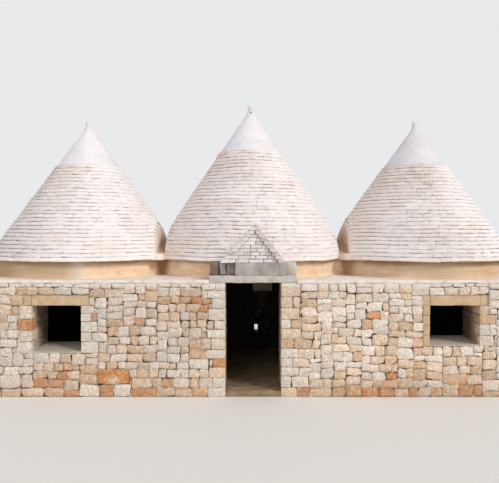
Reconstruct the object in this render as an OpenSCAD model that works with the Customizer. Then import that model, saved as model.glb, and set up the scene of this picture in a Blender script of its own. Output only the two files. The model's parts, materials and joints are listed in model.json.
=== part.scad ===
// Trullo house of three stone cones on one rubble-walled range.
// The house faces -Y, the ground is z = 0 and the origin is under the middle cone's axis.

/* [Plan] */
// Side of each square room
room_w = 2820; // [2740:20:2900]
// Thickness of the outer walls
wall_t = 830; // [780:10:860]
// Thickness of the walls between the rooms
cross_t = 690; // [650:10:720]

/* [Walls] */
// Height of the rubble walls
wall_h = 2015; // [1990:5:2100]
// Thickness of the rendered bed on top of the walls
cope_t = 40; // [30:2:60]
// How far the bed's rounded nose stands past the wall face
cope_nose = 25; // [22:1:40]
// Width of the arched openings between the rooms
arch_w = 1500; // [1300:20:1600]
// Height of the arches' springing
arch_spring = 1200; // [1100:20:1300]
// Rise of the arches above their springing
arch_rise = 450; // [380:10:500]
// Thickness of the paved floor
floor_t = 80; // [60:5:100]

/* [Door] */
// How far the doorway stands to the right of the middle cone's axis
door_x = 45; // [0:5:80]
// Width of the doorway
door_w = 1000; // [900:10:1100]
// How far the threshold stone stands above the floor
threshold_up = 15; // [5:5:30]
// Depth of the threshold stone
threshold_d = 350; // [300:10:450]
// Length of the lintel slab
lintel_l = 1540; // [1400:10:1700]
// Thickness of the lintel slabs
lintel_t = 125; // [100:5:160]
// Depth of the outer lintel slab
lintel_d = 400; // [330:10:450]
// From the doorway's middle to the left end of the grey block on the lintel
block_left = -315; // [-400:5:-250]
// From the doorway's middle to the right end of the grey block
block_right = 585; // [550:5:640]
// How far the lintel and its block stand past the wall face
lintel_proud = 12; // [5:1:18]
// How far the infill beside the block stands out in front of the drum
shoulder_t = 250; // [200:5:280]

/* [Gable] */
// Half the width of the gable over the door
gable_half = 585; // [540:5:620]
// Height of the gable
gable_h = 700; // [640:10:740]
// Sideways lean of the gable's peak
gable_lean = 40; // [0:5:60]
// Number of stone courses in the gable
gable_courses = 11; // [9:1:13]
// Width of the slabs along the gable's slopes
verge_w = 150; // [120:5:180]
// How far the gable's face is set back behind its slope slabs
tympanum_back = 55; // [30:5:90]

/* [Windows] */
// How far the left window stands from its cone's axis, away from the door
window_left_shift = -90; // [-110:10:60]
// How far the right window stands from its cone's axis, away from the door
window_right_shift = 90; // [-20:10:110]
// Width of the windows
window_w = 880; // [800:10:960]
// Height of the window heads
window_head = 1615; // [1580:5:1640]
// Height of the left window's sill
sill_left = 815; // [780:5:950]
// Height of the right window's sill
sill_right = 935; // [850:5:1000]
// Thickness of the mortar sills
sill_t = 40; // [30:5:60]
// Fall of the sills towards the outside
sill_fall = 12; // [5:1:20]
// Length of the window lintels
window_lintel_l = 1160; // [1060:10:1240]
// Height of the window lintels
window_lintel_h = 185; // [160:5:210]
// Depth of the outer window lintels
window_lintel_d = 300; // [250:10:400]
// Width of the squared stones beside the right window
jamb_w = 120; // [100:5:150]

/* [Rear niche and vent] */
// Place of the niche along the back wall
niche_x = 290; // [250:10:330]
// Width of the niche
niche_w = 390; // [300:10:400]
// Height of the niche's floor
niche_z = 400; // [340:10:540]
// Height of the niche's head
niche_head = 1480; // [1400:10:1520]
// Depth of the niche
niche_d = 300; // [250:10:350]
// Length of the niche's lintel
niche_lintel_l = 460; // [420:10:520]
// Height of the niche's lintel
niche_lintel_h = 205; // [160:5:230]
// Width of the vent through the back of the niche
vent_w = 85; // [70:5:150]
// Height of the vent
vent_h = 220; // [150:10:260]
// From the niche's left side to the vent
vent_side = 5; // [5:5:60]

/* [Drums] */
// Thickness of the drums
drum_t = 470; // [440:5:500]
// Height of the drums
drum_h = 310; // [270:5:360]
// How far the lowest course of a cone stands past its drum
eave_out = 100; // [70:5:120]

/* [Cones] */
// Height of one course of roofing stone
course_h = 73; // [70:1:78]
// Courses in the middle cone
courses_centre = 30; // [28:1:32]
// Courses in each side cone
courses_side = 26; // [24:1:28]
// Radius at which the courses stop and the plastered tip begins
shoulder_r = 650; // [600:10:700]
// Outward belly of the middle cone, greatest a third of the way up its courses
belly_centre = 80; // [40:5:100]
// Outward belly of the side cones
belly_side = 0; // [-30:5:60]
// How far the left cone stands off the middle of its bay, towards the middle cone
cone_left_shift = 50; // [0:5:60]
// Share of each course's set-back that its sloping face takes
face_lean = 0.6; // [0.4:0.05:0.8]
// Thickness of the roofing stone over the corbelled dome
clad_t = 260; // [240:5:300]
// Masonry left over the head of each dome
crown_t = 260; // [220:10:320]
// Radius at the head of each dome, under its closing stone
crown_r = 120; // [90:10:160]

/* [Tips] */
// Height of the middle cone's plastered tip
tip_centre_h = 1025; // [950:5:1100]
// Height of the side cones' plastered tips
tip_side_h = 980; // [900:10:1050]
// Radius of the blunt stub on each tip
stub_r = 62; // [50:2:80]
// Straight length of the stub
stub_h = 90; // [50:5:130]
// Height over which the tip sweeps into its stub
flare_h = 150; // [100:10:240]

/* [Valleys] */
// How far the left valley lies outside the plane midway between its cones
valley_left_shift = 25; // [0:5:60]
// How far the right valley lies outside the plane midway between its cones
valley_right_shift = 105; // [80:5:120]
// Gap between the trimmed flanks of neighbouring cones, at the eaves
valley_gap = 160; // [100:5:180]
// Lean of a side cone's trimmed flank towards its own axis, in degrees
flank_lean = 8; // [0:1:12]
// Height of the gutter's lip above the eaves
gutter_lip = 110; // [90:5:140]
// Rise of the gutter's floor from its lips to its middle
gutter_rise = 250; // [180:10:280]
// Radius of the mortar saddle at each end of a gutter
saddle_r = 210; // [180:5:240]
// How far out the saddles stand past the corners where the eaves cross
saddle_out = 60; // [0:5:80]

/* [Hidden] */
$fn = 256;

// Half the side of each square room, which is also the inner radius of each drum
room = room_w / 2;
half_depth = room + wall_t;
// Distance between the axes of neighbouring cones
bay = room_w + cross_t;
half_length = bay + half_depth;
drum_r = room + drum_t;
eave_r = drum_r + eave_out;
terrace_z = wall_h + cope_t;
gable_step = gable_h / gable_courses;
eave_z = terrace_z + drum_h;
// Plane midway between two cones
bay_edge = bay / 2;
cone_centre_h = courses_centre * course_h;
cone_side_h = courses_side * course_h;
// Half the length of a gutter, between the corners where the eaves cross
gutter_half = sqrt(eave_r * eave_r - bay_edge * bay_edge);

// How far a cut runs past the faces that it goes through
cut = 10;
// Corbelled steps under each drum, from the top course down
squinch_rings = 4;
squinch_step = 120;
squinch_h = 150;
squinch_clear = 140;
// Straight stretches in the meridian of a dome
dome_steps = 7;
flare_steps = 8;

// Outer radius of a cone's courses at a share t of its height
function clad_r(t, belly) = eave_r + (shoulder_r - eave_r) * t + 27 / 4 * belly * t * pow(1 - t, 2);

// Stepped outline of a cone's courses: each face leans inwards and ends in a narrow tread
function course_points(n, belly) = [
    for (i = [0 : n - 1], top = [0, 1])
        let (low = clad_r(i / n, belly), high = clad_r((i + 1) / n, belly))
            [top ? low + (high - low) * face_lean : low, (i + top) * course_h]
];

// Outer meridian of a dome, on which the roofing stone is bedded
function dome_points(h, belly) = [
    for (i = [0 : dome_steps]) [clad_r(i / dome_steps, belly) - clad_t, h * i / dome_steps]
];

// Inner meridian of a dome, from its springing to the closing stone
function vault_points(h) = [
    for (i = [0 : dome_steps])
        let (t = i / dome_steps) [room + (crown_r - room) * pow(t, 1.5), (h - crown_t) * t]
];

function reversed(list) = [for (i = [len(list) - 1 : -1 : 0]) list[i]];

// Box from its low corner to its high corner
module block(low, high) {
    translate(low) cube(high - low);
}

// Everything on the axis of one bay: -1 left, 0 middle, 1 right
module at_bay(side) {
    translate([side * bay, 0, 0]) children();
}

// Moves a piece onto the axis of a bay's cone
module at_cone(side) {
    translate([side * bay + (side < 0 ? cone_left_shift : 0), 0, 0]) children();
}

// Mirror image for the left-hand piece of a pair
module on_side(side) {
    if (side < 0) mirror([1, 0, 0]) children();
    else children();
}

// Height of the sill on one side of the door
function sill_z(side) = side < 0 ? sill_left : sill_right;
// Distance of a window's middle from the middle cone's axis
function window_x(side) = bay + (side < 0 ? window_left_shift : window_right_shift);

// Space across a window's wall, a length past both faces
module window_slot(side, width, low_z, high_z) {
    x = window_x(side);
    block([x - width / 2, -half_depth - cut, low_z], [x + width / 2, -room + cut, high_z]);
}

module jamb_seat(grow) {
    left = window_x(1) - window_w / 2 - jamb_w;
    block(
        [left, -half_depth - grow, sill_right - sill_t],
        [left + jamb_w, -half_depth + window_lintel_d, window_head]
    );
}

// Front wall from the doorway to one corner, with its window cut through
module front_wall(side) {
    color("tan") on_side(side) difference() {
        block([door_w / 2 + side * door_x, -half_depth, 0], [half_length, -room, wall_h]);
        window_slot(side, window_w, sill_z(side) - sill_t, window_head);
        window_slot(side, window_lintel_l, window_head, window_head + window_lintel_h);
        if (side > 0) jamb_seat(cut);
    }
}

module side_wall(side) {
    color("tan") on_side(side) block([bay + room, -room, 0], [half_length, room, wall_h]);
}

module rear_wall() {
    niche_left = niche_x - niche_w / 2;
    vent_left = niche_left + vent_side;
    color("tan") difference() {
        block([-half_length, room, 0], [half_length, half_depth, wall_h]);
        block([niche_left, room - cut, niche_z], [niche_left + niche_w, room + niche_d, niche_head]);
        block(
            [niche_x - niche_lintel_l / 2, room - cut, niche_head],
            [niche_x + niche_lintel_l / 2, room + niche_d, niche_head + niche_lintel_h]
        );
        block(
            [vent_left, room + niche_d - cut, niche_z],
            [vent_left + vent_w, half_depth + cut, niche_z + vent_h]
        );
    }
}

// Wall between two rooms, open under a segmental arch
module cross_wall(side) {
    arch_r = (arch_w * arch_w / 4 + arch_rise * arch_rise) / (2 * arch_rise);
    color("gainsboro") on_side(side) difference() {
        block([room, -room, 0], [bay - room, room, wall_h]);
        block([room - cut, -arch_w / 2, -cut], [bay - room + cut, arch_w / 2, arch_spring]);
        intersection() {
            translate([room - cut, 0, arch_spring + arch_rise - arch_r])
                rotate([0, 90, 0]) cylinder(r = arch_r, h = bay - 2 * room + 2 * cut);
            block(
                [room - 2 * cut, -arch_w / 2, arch_spring - cut],
                [bay - room + 2 * cut, arch_w / 2, arch_spring + arch_rise + cut]
            );
        }
    }
}

// Paving of the three rooms, running through the arches and into the doorway
module floor() {
    color("silver") linear_extrude(floor_t) union() {
        for (side = [-1 : 1]) translate([side * bay, 0]) square(2 * room, center = true);
        square([2 * bay, arch_w], center = true);
        translate([door_x - door_w / 2, -half_depth + threshold_d])
            square([door_w, wall_t - threshold_d + cut]);
    }
}

module door_threshold() {
    color("lightgray") block(
        [door_x - door_w / 2, -half_depth, 0],
        [door_x + door_w / 2, -half_depth + threshold_d, floor_t + threshold_up]
    );
}

module door_lintel() {
    color("lightgray") block(
        [door_x - lintel_l / 2, -half_depth - lintel_proud, wall_h],
        [door_x + lintel_l / 2, -half_depth + lintel_d, wall_h + lintel_t]
    );
}

module door_lintel_inner() {
    color("lightgray") block(
        [door_x - lintel_l / 2, -half_depth + lintel_d, wall_h],
        [door_x + lintel_l / 2, -room, wall_h + lintel_t]
    );
}

// Stonework between the lintel slab and the eaves, bedded against the round drum
module drum_facing(left, right, face_y, shade) {
    color(shade) difference() {
        block(
            [door_x + left, face_y, wall_h + lintel_t],
            [door_x + right, -room, eave_z]
        );
        translate([0, 0, terrace_z]) cylinder(r = drum_r, h = drum_h + cut);
    }
}

module lintel_block() {
    drum_facing(block_left, block_right, -half_depth - lintel_proud, "darkgray");
}

module lintel_shoulder_left() {
    drum_facing(-lintel_l / 2, block_left, -drum_r - shoulder_t, "rosybrown");
}

module lintel_shoulder_right() {
    drum_facing(block_right, lintel_l / 2, -drum_r - shoulder_t, "silver");
}

// Half width of the gable at the foot of course k
function gable_x(k) = gable_half * (1 - k / gable_courses);
// Place of the gable's middle at the foot of course k
function gable_mid(k) = door_x + gable_lean * k / gable_courses;
// Half width of the recessed face in course k, none where the slope slabs meet
function face_x(k) = max(gable_x(k) - verge_w, 0);

// Slope slabs on one side: sloping outer edges and stepped inner edges
module verge_outline(side) {
    for (k = [0 : gable_courses - 1]) {
        inner_mid = gable_mid(face_x(k) > 0 ? k : k + 1);
        polygon([
            [gable_mid(k) + side * face_x(k), k * gable_step],
            [gable_mid(k) + side * gable_x(k), k * gable_step],
            [gable_mid(k + 1) + side * gable_x(k + 1), (k + 1) * gable_step],
            [inner_mid + side * face_x(k), (k + 1) * gable_step]
        ]);
    }
}

// Recessed face between the slope slabs, narrower at each course
module face_outline() {
    for (k = [0 : gable_courses - 1]) if (face_x(k) > 0)
        translate([gable_mid(k) - face_x(k), 0]) square([2 * face_x(k), (k + 1) * gable_step]);
}

module gable_outline() {
    polygon([[door_x - gable_half, 0], [door_x + gable_half, 0], [gable_mid(gable_courses), gable_h]]);
}

// Upright slice of the gable, from a set-back behind its face to the inside of the roof
module gable_prism(back) {
    translate([0, -room * 0.7, eave_z])
        rotate([90, 0, 0]) linear_extrude(half_depth + lintel_proud - back - room * 0.7) children();
}

// Solid of revolution inside the roofing stone of one cone
module dome_core(h, belly) {
    translate([0, 0, eave_z]) rotate_extrude() polygon(concat([[0, 0]], dome_points(h, belly), [[0, h]]));
}

module gable_part(back) {
    difference() {
        gable_prism(back) children();
        dome_core(cone_centre_h, belly_centre);
    }
}

module gable_wall() {
    color("gainsboro") gable_part(tympanum_back) face_outline();
}

module gable_slope(side) {
    color("lightgray") gable_part(0) verge_outline(side);
}

// Lintel stone of a window between two depths in the wall
module window_beam(side, front_y, back_y) {
    left = window_x(side) - window_lintel_l / 2;
    color("burlywood") on_side(side) block(
        [left, front_y, window_head],
        [left + window_lintel_l, back_y, window_head + window_lintel_h]
    );
}

module window_lintel(side) {
    window_beam(side, -half_depth, -half_depth + window_lintel_d);
}

module window_lintel_inner(side) {
    window_beam(side, -half_depth + window_lintel_d, -room);
}

// Mortar sill that falls towards the outside
module window_sill(side) {
    color("silver") on_side(side) translate([window_x(side) - window_w / 2, 0, sill_z(side)])
        rotate([90, 0, 90]) linear_extrude(window_w) polygon([
            [-half_depth, -sill_t],
            [-room, -sill_t],
            [-room, 0],
            [-half_depth, -sill_fall]
        ]);
}

module window_jamb_right() {
    color("burlywood") jamb_seat(0);
}

module niche_lintel() {
    color("burlywood") block(
        [niche_x - niche_lintel_l / 2, room, niche_head],
        [niche_x + niche_lintel_l / 2, room + niche_d, niche_head + niche_lintel_h]
    );
}

// Straight run of the rounded nose between two points of the plan
module nose(from, to) {
    run = to - from;
    translate([from[0], from[1], wall_h + cope_t / 2])
        rotate([0, 90, atan2(run[1], run[0])]) cylinder(d = cope_t, h = norm(run));
}

// Rendered bed over one bay of the walls, with the room's round opening
module terrace(side) {
    edge = half_depth + cope_nose - cope_t / 2;
    inner = bay_edge;
    outer = side == 0 ? bay_edge : half_length + cope_nose - cope_t / 2;
    color("seashell") on_side(side) difference() {
        union() {
            if (side == 0) {
                block([-inner, -edge, wall_h], [inner, edge, terrace_z]);
                for (y = [-edge, edge]) nose([-inner, y], [inner, y]);
            } else {
                block([inner, -edge, wall_h], [outer, edge, terrace_z]);
                for (y = [-edge, edge]) {
                    nose([inner, y], [outer, y]);
                    translate([outer, y, wall_h + cope_t / 2]) sphere(d = cope_t, $fn = 64);
                }
                nose([outer, -edge], [outer, edge]);
            }
        }
        translate([side == 0 ? 0 : bay, 0, wall_h - cut]) cylinder(r = room, h = cope_t + 2 * cut);
        if (side == 0) lintel_seat();
    }
}

// Space that the two lintel slabs take in the bed and the drum
module lintel_seat() {
    block(
        [door_x - lintel_l / 2, -half_depth - cope_nose - cut, wall_h - cut],
        [door_x + lintel_l / 2, -room + cut, wall_h + lintel_t]
    );
}

// Corbelled corner stones that carry a round drum over a square room
module squinches(side) {
    color("gainsboro") at_bay(side) for (k = [0 : squinch_rings - 1])
        translate([0, 0, wall_h - (k + 1) * squinch_h]) linear_extrude(squinch_h) difference() {
            square(2 * room, center = true);
            circle(r = room + squinch_clear + k * squinch_step);
        }
}

// Distance from the middle cone's axis to the plane on which two drums meet
function valley_x(side) = bay_edge + (side < 0 ? valley_left_shift : valley_right_shift);

// Keeps what lies on one bay's side of the valleys, a clearance away from them
module within_valleys(side, clear, lean = 0) {
    reach = 2 * half_length;
    intersection() {
        children();
        if (side == 0) block([-valley_x(-1) + clear, -reach, 0], [valley_x(1) - clear, reach, reach]);
        else on_side(side) translate([valley_x(side) + clear, 0, eave_z])
            rotate([0, lean, 0]) block([0, -reach, -reach], [reach, reach, reach]);
    }
}

// Plastered ring that carries a cone
module drum(side) {
    color("burlywood") difference() {
        within_valleys(side, 0) at_bay(side) translate([0, 0, terrace_z]) difference() {
            cylinder(r = drum_r, h = drum_h);
            translate([0, 0, -cut]) cylinder(r = room, h = drum_h + 2 * cut);
        }
        if (side == 0) lintel_seat();
    }
}

// Corbelled dome under the roofing stone
module dome(side, h, belly) {
    vault = vault_points(h);
    outer = reversed(dome_points(h, belly));
    color("gainsboro") within_valleys(side, valley_gap / 2, flank_lean) at_bay(side) translate([0, 0, eave_z])
        rotate_extrude() polygon(concat(vault, [[0, h - crown_t], [0, h]], outer));
}

// All that stands inside the faces of a cone's courses
module cone_mass(side, n, belly) {
    within_valleys(side, valley_gap / 2, flank_lean) at_cone(side) translate([0, 0, eave_z]) rotate_extrude()
        polygon(concat([[0, 0]], course_points(n, belly), [[shoulder_r, n * course_h], [0, n * course_h]]));
}

// Courses of roofing stone over the dome
module cone(side, n, belly) {
    color("whitesmoke") difference() {
        cone_mass(side, n, belly);
        at_bay(side) dome_core(n * course_h, belly);
        if (side == 0) gable_prism(-cope_nose - cut) gable_outline();
    }
}

// Smooth plastered tip that sweeps into a blunt stub
module tip(side, n, h) {
    straight = h - stub_h - flare_h;
    slope = (shoulder_r - stub_r) / (straight + flare_h / 2);
    sweep = [
        for (i = [0 : flare_steps])
            let (t = i / flare_steps) [stub_r + slope * flare_h / 2 * pow(1 - t, 2), straight + flare_h * t]
    ];
    color("white") at_cone(side) translate([0, 0, eave_z + n * course_h]) rotate_extrude()
        polygon(concat([[0, 0], [shoulder_r, 0]], sweep, [[stub_r, h], [0, h]]));
}

// Mortar gutter between two cones, with a saddle closing each end
module valley(side) {
    rise = gutter_lip + gutter_rise;
    low_x = valley_x(side) - valley_gap / 2;
    high_x = valley_x(side) + valley_gap / 2 + rise * tan(flank_lean);
    color("seashell") difference() {
        on_side(side) translate([0, 0, eave_z]) {
            translate([low_x, 0, 0]) rotate([90, 0, 90]) linear_extrude(high_x - low_x) polygon([
                [-gutter_half, 0],
                [gutter_half, 0],
                [gutter_half, gutter_lip],
                [0, rise],
                [-gutter_half, gutter_lip]
            ]);
            for (y = [-1, 1]) translate([valley_x(side), y * (gutter_half + saddle_out), 0])
                cylinder(r = saddle_r, h = gutter_lip);
        }
        cone_mass(0, courses_centre, belly_centre);
        cone_mass(side, courses_side, belly_side);
    }
}

front_wall(-1);  // front_wall_left
front_wall(1);  // front_wall_right
side_wall(-1);  // side_wall_left
side_wall(1);  // side_wall_right
rear_wall();
cross_wall(-1);  // cross_wall_left
cross_wall(1);  // cross_wall_right
floor();
door_threshold();
door_lintel();
door_lintel_inner();
lintel_block();
lintel_shoulder_left();
lintel_shoulder_right();
gable_wall();
gable_slope(-1);  // gable_slope_left
gable_slope(1);  // gable_slope_right
window_lintel(-1);  // window_lintel_left
window_lintel(1);  // window_lintel_right
window_lintel_inner(-1);  // window_lintel_inner_left
window_lintel_inner(1);  // window_lintel_inner_right
window_sill(-1);  // window_sill_left
window_sill(1);  // window_sill_right
window_jamb_right();
niche_lintel();
terrace(-1);  // terrace_left
terrace(0);  // terrace_centre
terrace(1);  // terrace_right
squinches(-1);  // squinches_left
squinches(0);  // squinches_centre
squinches(1);  // squinches_right
drum(-1);  // drum_left
drum(0);  // drum_centre
drum(1);  // drum_right
dome(-1, cone_side_h, belly_side);  // dome_left
dome(0, cone_centre_h, belly_centre);  // dome_centre
dome(1, cone_side_h, belly_side);  // dome_right
cone(-1, courses_side, belly_side);  // cone_left
cone(0, courses_centre, belly_centre);  // cone_centre
cone(1, courses_side, belly_side);  // cone_right
tip(-1, courses_side, tip_side_h);  // tip_left
tip(0, courses_centre, tip_centre_h);  // tip_centre
tip(1, courses_side, tip_side_h);  // tip_right
valley(-1);  // valley_left
valley(1);  // valley_right
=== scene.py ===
"""Trullo house: rubble walls and three cones of lime-washed roofing stone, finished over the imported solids.

Lengths are metres in the solids' own frame: +X along the house, -Y towards the door side, +Z up.
Stones are tiles: a grid of points over a face, laid on a wall or round a cone by a placing function.
Points carry a tint whose four channels, red to alpha, their material reads as colour, light and wear.
"""
import json
import math

import bmesh
import bpy
import numpy as np
from mathutils import Matrix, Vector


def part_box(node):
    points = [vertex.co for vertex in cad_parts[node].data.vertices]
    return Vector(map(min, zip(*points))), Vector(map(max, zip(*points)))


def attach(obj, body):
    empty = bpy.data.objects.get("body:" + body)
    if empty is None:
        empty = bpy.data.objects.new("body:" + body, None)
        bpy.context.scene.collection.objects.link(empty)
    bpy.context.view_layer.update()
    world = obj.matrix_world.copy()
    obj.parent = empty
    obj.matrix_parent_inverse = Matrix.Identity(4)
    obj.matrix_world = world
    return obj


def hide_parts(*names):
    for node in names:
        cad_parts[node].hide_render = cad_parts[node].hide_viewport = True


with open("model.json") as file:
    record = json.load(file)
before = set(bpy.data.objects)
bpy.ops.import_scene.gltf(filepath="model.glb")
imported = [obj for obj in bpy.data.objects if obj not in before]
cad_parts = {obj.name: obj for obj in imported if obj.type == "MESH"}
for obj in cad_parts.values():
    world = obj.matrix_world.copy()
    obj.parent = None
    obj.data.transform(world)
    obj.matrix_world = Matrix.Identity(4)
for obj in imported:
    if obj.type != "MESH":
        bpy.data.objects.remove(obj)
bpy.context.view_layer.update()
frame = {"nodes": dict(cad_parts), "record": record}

# Sizes read from the solids
SIDES = ("left", "centre", "right")
WALL_LOW, (HALF_LENGTH, HALF_DEPTH, WALL_TOP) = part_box("rear_wall")
LEFT_END, FRONT = -HALF_LENGTH, -HALF_DEPTH
ROOM = WALL_LOW[1]      # from the middle to the walls' inner faces
WALL_T = HALF_DEPTH - ROOM
CONE = {side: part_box("cone_" + side) for side in SIDES}
CONE_X = {side: sum(corner[0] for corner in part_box("tip_" + side)) / 2 for side in SIDES}
BAY = CONE_X["right"]
EAVE_R, EAVE_Z = CONE["centre"][1][1], CONE["centre"][0][2]
SHOULDER_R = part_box("tip_centre")[1][0]
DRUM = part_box("drum_centre")
DRUM_R, TERRACE_TOP = DRUM[1][1], DRUM[0][2]
DRUM_TALL = EAVE_Z - TERRACE_TOP

# Sizes of the finish
GRID = 0.005            # grid on which the rubble is laid
JOINT = 0.004           # between squared stones
STONE_PROUD = 0.026     # how far the rubble stands out of the walls
SQUARE_PROUD = 0.014    # and the squared stones
STONE_TALL = (0.10, 0.21)
FOOTING = 0.30          # height below which the stones are larger
COURSE = 0.073          # height of a course of roofing slabs
SLAB_WIDE = (0.12, 0.22, 0.46)      # least, usual and greatest width of a slab
SLAB_PROUD = 0.009
BURIED = 0.012          # how far the rim of a stone's back lies under its face
SLAB_BURIED = 0.026
FACE_LEAN = 0.6         # share of a course's step that its face leans back
# How far each cone bulges, and how far its trimmed flanks lean in with height
BELLY = {"left": 0.0, "centre": 0.080, "right": 0.0}
LEAN = {"left": math.tan(math.radians(8)), "centre": 0.0, "right": math.tan(math.radians(8))}
COURSES = {side: int(round((CONE[side][1][2] - EAVE_Z) / COURSE)) for side in SIDES}


# Number and mesh helpers

def unit(value):
    """The value held between 0 and 1."""
    return np.clip(value, 0, 1)


def ramp(value, start, stop):
    """0 before start, 1 past stop and straight between them. Start may be the larger."""
    return unit((value - start) / (stop - start))


def waves(x, y, z, seed, length, count=7):
    """Smooth noise, mostly from -1 to 1: n sine waves of about one length in random directions, added and
    divided by 1.4 sqrt(n)."""
    draw = np.random.default_rng(seed)
    total = 0.0
    for _ in range(count):
        way = draw.normal(size=3)
        way *= 2 * math.pi / (length * draw.uniform(0.7, 1.5)) / np.linalg.norm(way)
        total = total + np.sin(way[0] * x + way[1] * y + way[2] * z + draw.uniform(0, 2 * math.pi))
    return total / math.sqrt(count) / 1.4


def ripples(x, y, z, seed, *layers):
    """Waves of several sizes together: each layer is (depth, length) and takes the next seed."""
    return sum(depth * waves(x, y, z, seed + i, length) for i, (depth, length) in enumerate(layers))


def shaken(points, seed, length):
    """Three waves over points, as the shift of each along x, y and z."""
    return np.stack([waves(*points.T, seed + j, length) for j in range(3)], 1)


def around(axis_x, radius, angle, z):
    """Points at a radius and an angle from the front round an upright axis."""
    return np.stack(np.broadcast_arrays(axis_x + radius * np.sin(angle), -radius * np.cos(angle), z), -1)


def tints(shape, *channels):
    """Tint over points of a shape: red, green, blue and alpha, 1 where none is given."""
    tint = np.ones(tuple(shape) + (4,))
    for i, channel in enumerate(channels):
        tint[..., i] = channel
    return tint


def grid_faces(n, m):
    """Quads of an n by m grid of points, and the points of its rim in order."""
    index = np.arange(n * m).reshape(n, m)
    rim = np.concatenate([index[:-1, 0], index[-1, :-1], index[:0:-1, -1], index[0, :0:-1]])
    return np.stack([index[:-1, :-1], index[1:, :-1], index[1:, 1:], index[:-1, 1:]], -1).reshape(-1, 4), rim


def mesh_object(name, points, quads, rings=(), tint=None):
    """An object from points, quads and rows of many-sided faces, all smooth, with each point's tint."""
    points = np.asarray(points, np.float32).reshape(-1, 3)
    quads, rings = np.asarray(quads, np.int32).reshape(-1, 4), np.asarray(rings, np.int32)
    corners = np.concatenate([quads.ravel(), rings.ravel()])
    sizes = np.repeat([4, rings.shape[-1]], [len(quads), len(rings)]).astype(np.int32)
    mesh = bpy.data.meshes.new(name)
    mesh.vertices.add(len(points))
    mesh.vertices.foreach_set("co", points.ravel())
    mesh.loops.add(len(corners))
    mesh.loops.foreach_set("vertex_index", corners)
    mesh.polygons.add(len(sizes))
    mesh.polygons.foreach_set("loop_start", (np.cumsum(sizes) - sizes).astype(np.int32))
    mesh.polygons.foreach_set("use_smooth", np.ones(len(sizes), bool))
    mesh.update(calc_edges=True)
    mesh.validate()
    if tint is not None:
        layer = mesh.attributes.new("tint", "FLOAT_COLOR", "POINT")
        layer.data.foreach_set("color", np.asarray(tint, np.float32).ravel())
    made = bpy.data.objects.new(name, mesh)
    bpy.context.collection.objects.link(made)
    return made


def make_piece(name, points, quads, material, rings=(), tint=None, replaced=(), turned=False):
    """Makes a piece, ties it to the house and hides the solids that it stands for. Turned makes the faces
    of a closed skin all look out."""
    piece = mesh_object(name, points, quads, rings, tint)
    if turned:
        skin = bmesh.new()
        skin.from_mesh(piece.data)
        bmesh.ops.recalc_face_normals(skin, faces=skin.faces)
        skin.to_mesh(piece.data)
        skin.free()
    piece.data.materials.append(material)
    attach(piece, "root")
    if replaced:
        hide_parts(*replaced)


def shell(name, front, back, material, tint, replaced=()):
    """A closed skin between two grids of points: its outside and its buried inside."""
    quads, rim = grid_faces(*front.shape[:2])
    inside, after = front.shape[0] * front.shape[1], np.roll(rim, -1)
    side = np.stack([rim, after, after + inside, rim + inside], -1)
    make_piece(name, np.concatenate([front, back]), np.concatenate([quads, quads[:, ::-1] + inside, side]),
               material, tint=np.concatenate([tint, tint]), replaced=replaced, turned=True)


def tube(name, points, material, tint=None, replaced=()):
    """A closed skin over a grid of points whose rows are rings, with one face over each end."""
    index = np.arange(points.shape[0] * points.shape[1]).reshape(points.shape[:2])
    after = np.roll(index, -1, 1)
    make_piece(name, points, np.stack([index[:-1], after[:-1], after[1:], index[1:]], -1), material,
               [index[0][::-1], index[-1]], tint, replaced, True)


# Stones

def tile_pattern(across, up):
    """One tile: u and v from -1 to 1 over a face grid and then its rim again for the buried edge, which
    points are buried, the quads, and the face over the back."""
    n, m = len(across), len(up)
    quads, rim = grid_faces(n, m)
    u, v = (np.concatenate([c.ravel(), c.ravel()[rim]]) for c in np.meshgrid(across, up, indexing="ij"))
    back = n * m + np.arange(len(rim))
    side = np.stack([np.roll(rim, -1), rim, back, np.roll(back, -1)], -1)
    return {"u": u, "v": v, "buried": np.arange(len(u)) >= n * m, "quads": np.concatenate([quads, side]),
            "back": back[::-1]}


STONE = tile_pattern(*[(-1.0, -0.93, -0.5, 0.0, 0.5, 0.93, 1.0)] * 2)
SLAB = tile_pattern((-1.0, -0.88, -0.35, 0.35, 0.88, 1.0), (-1.0, -0.7, 0.0, 0.7, 1.0))


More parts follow.
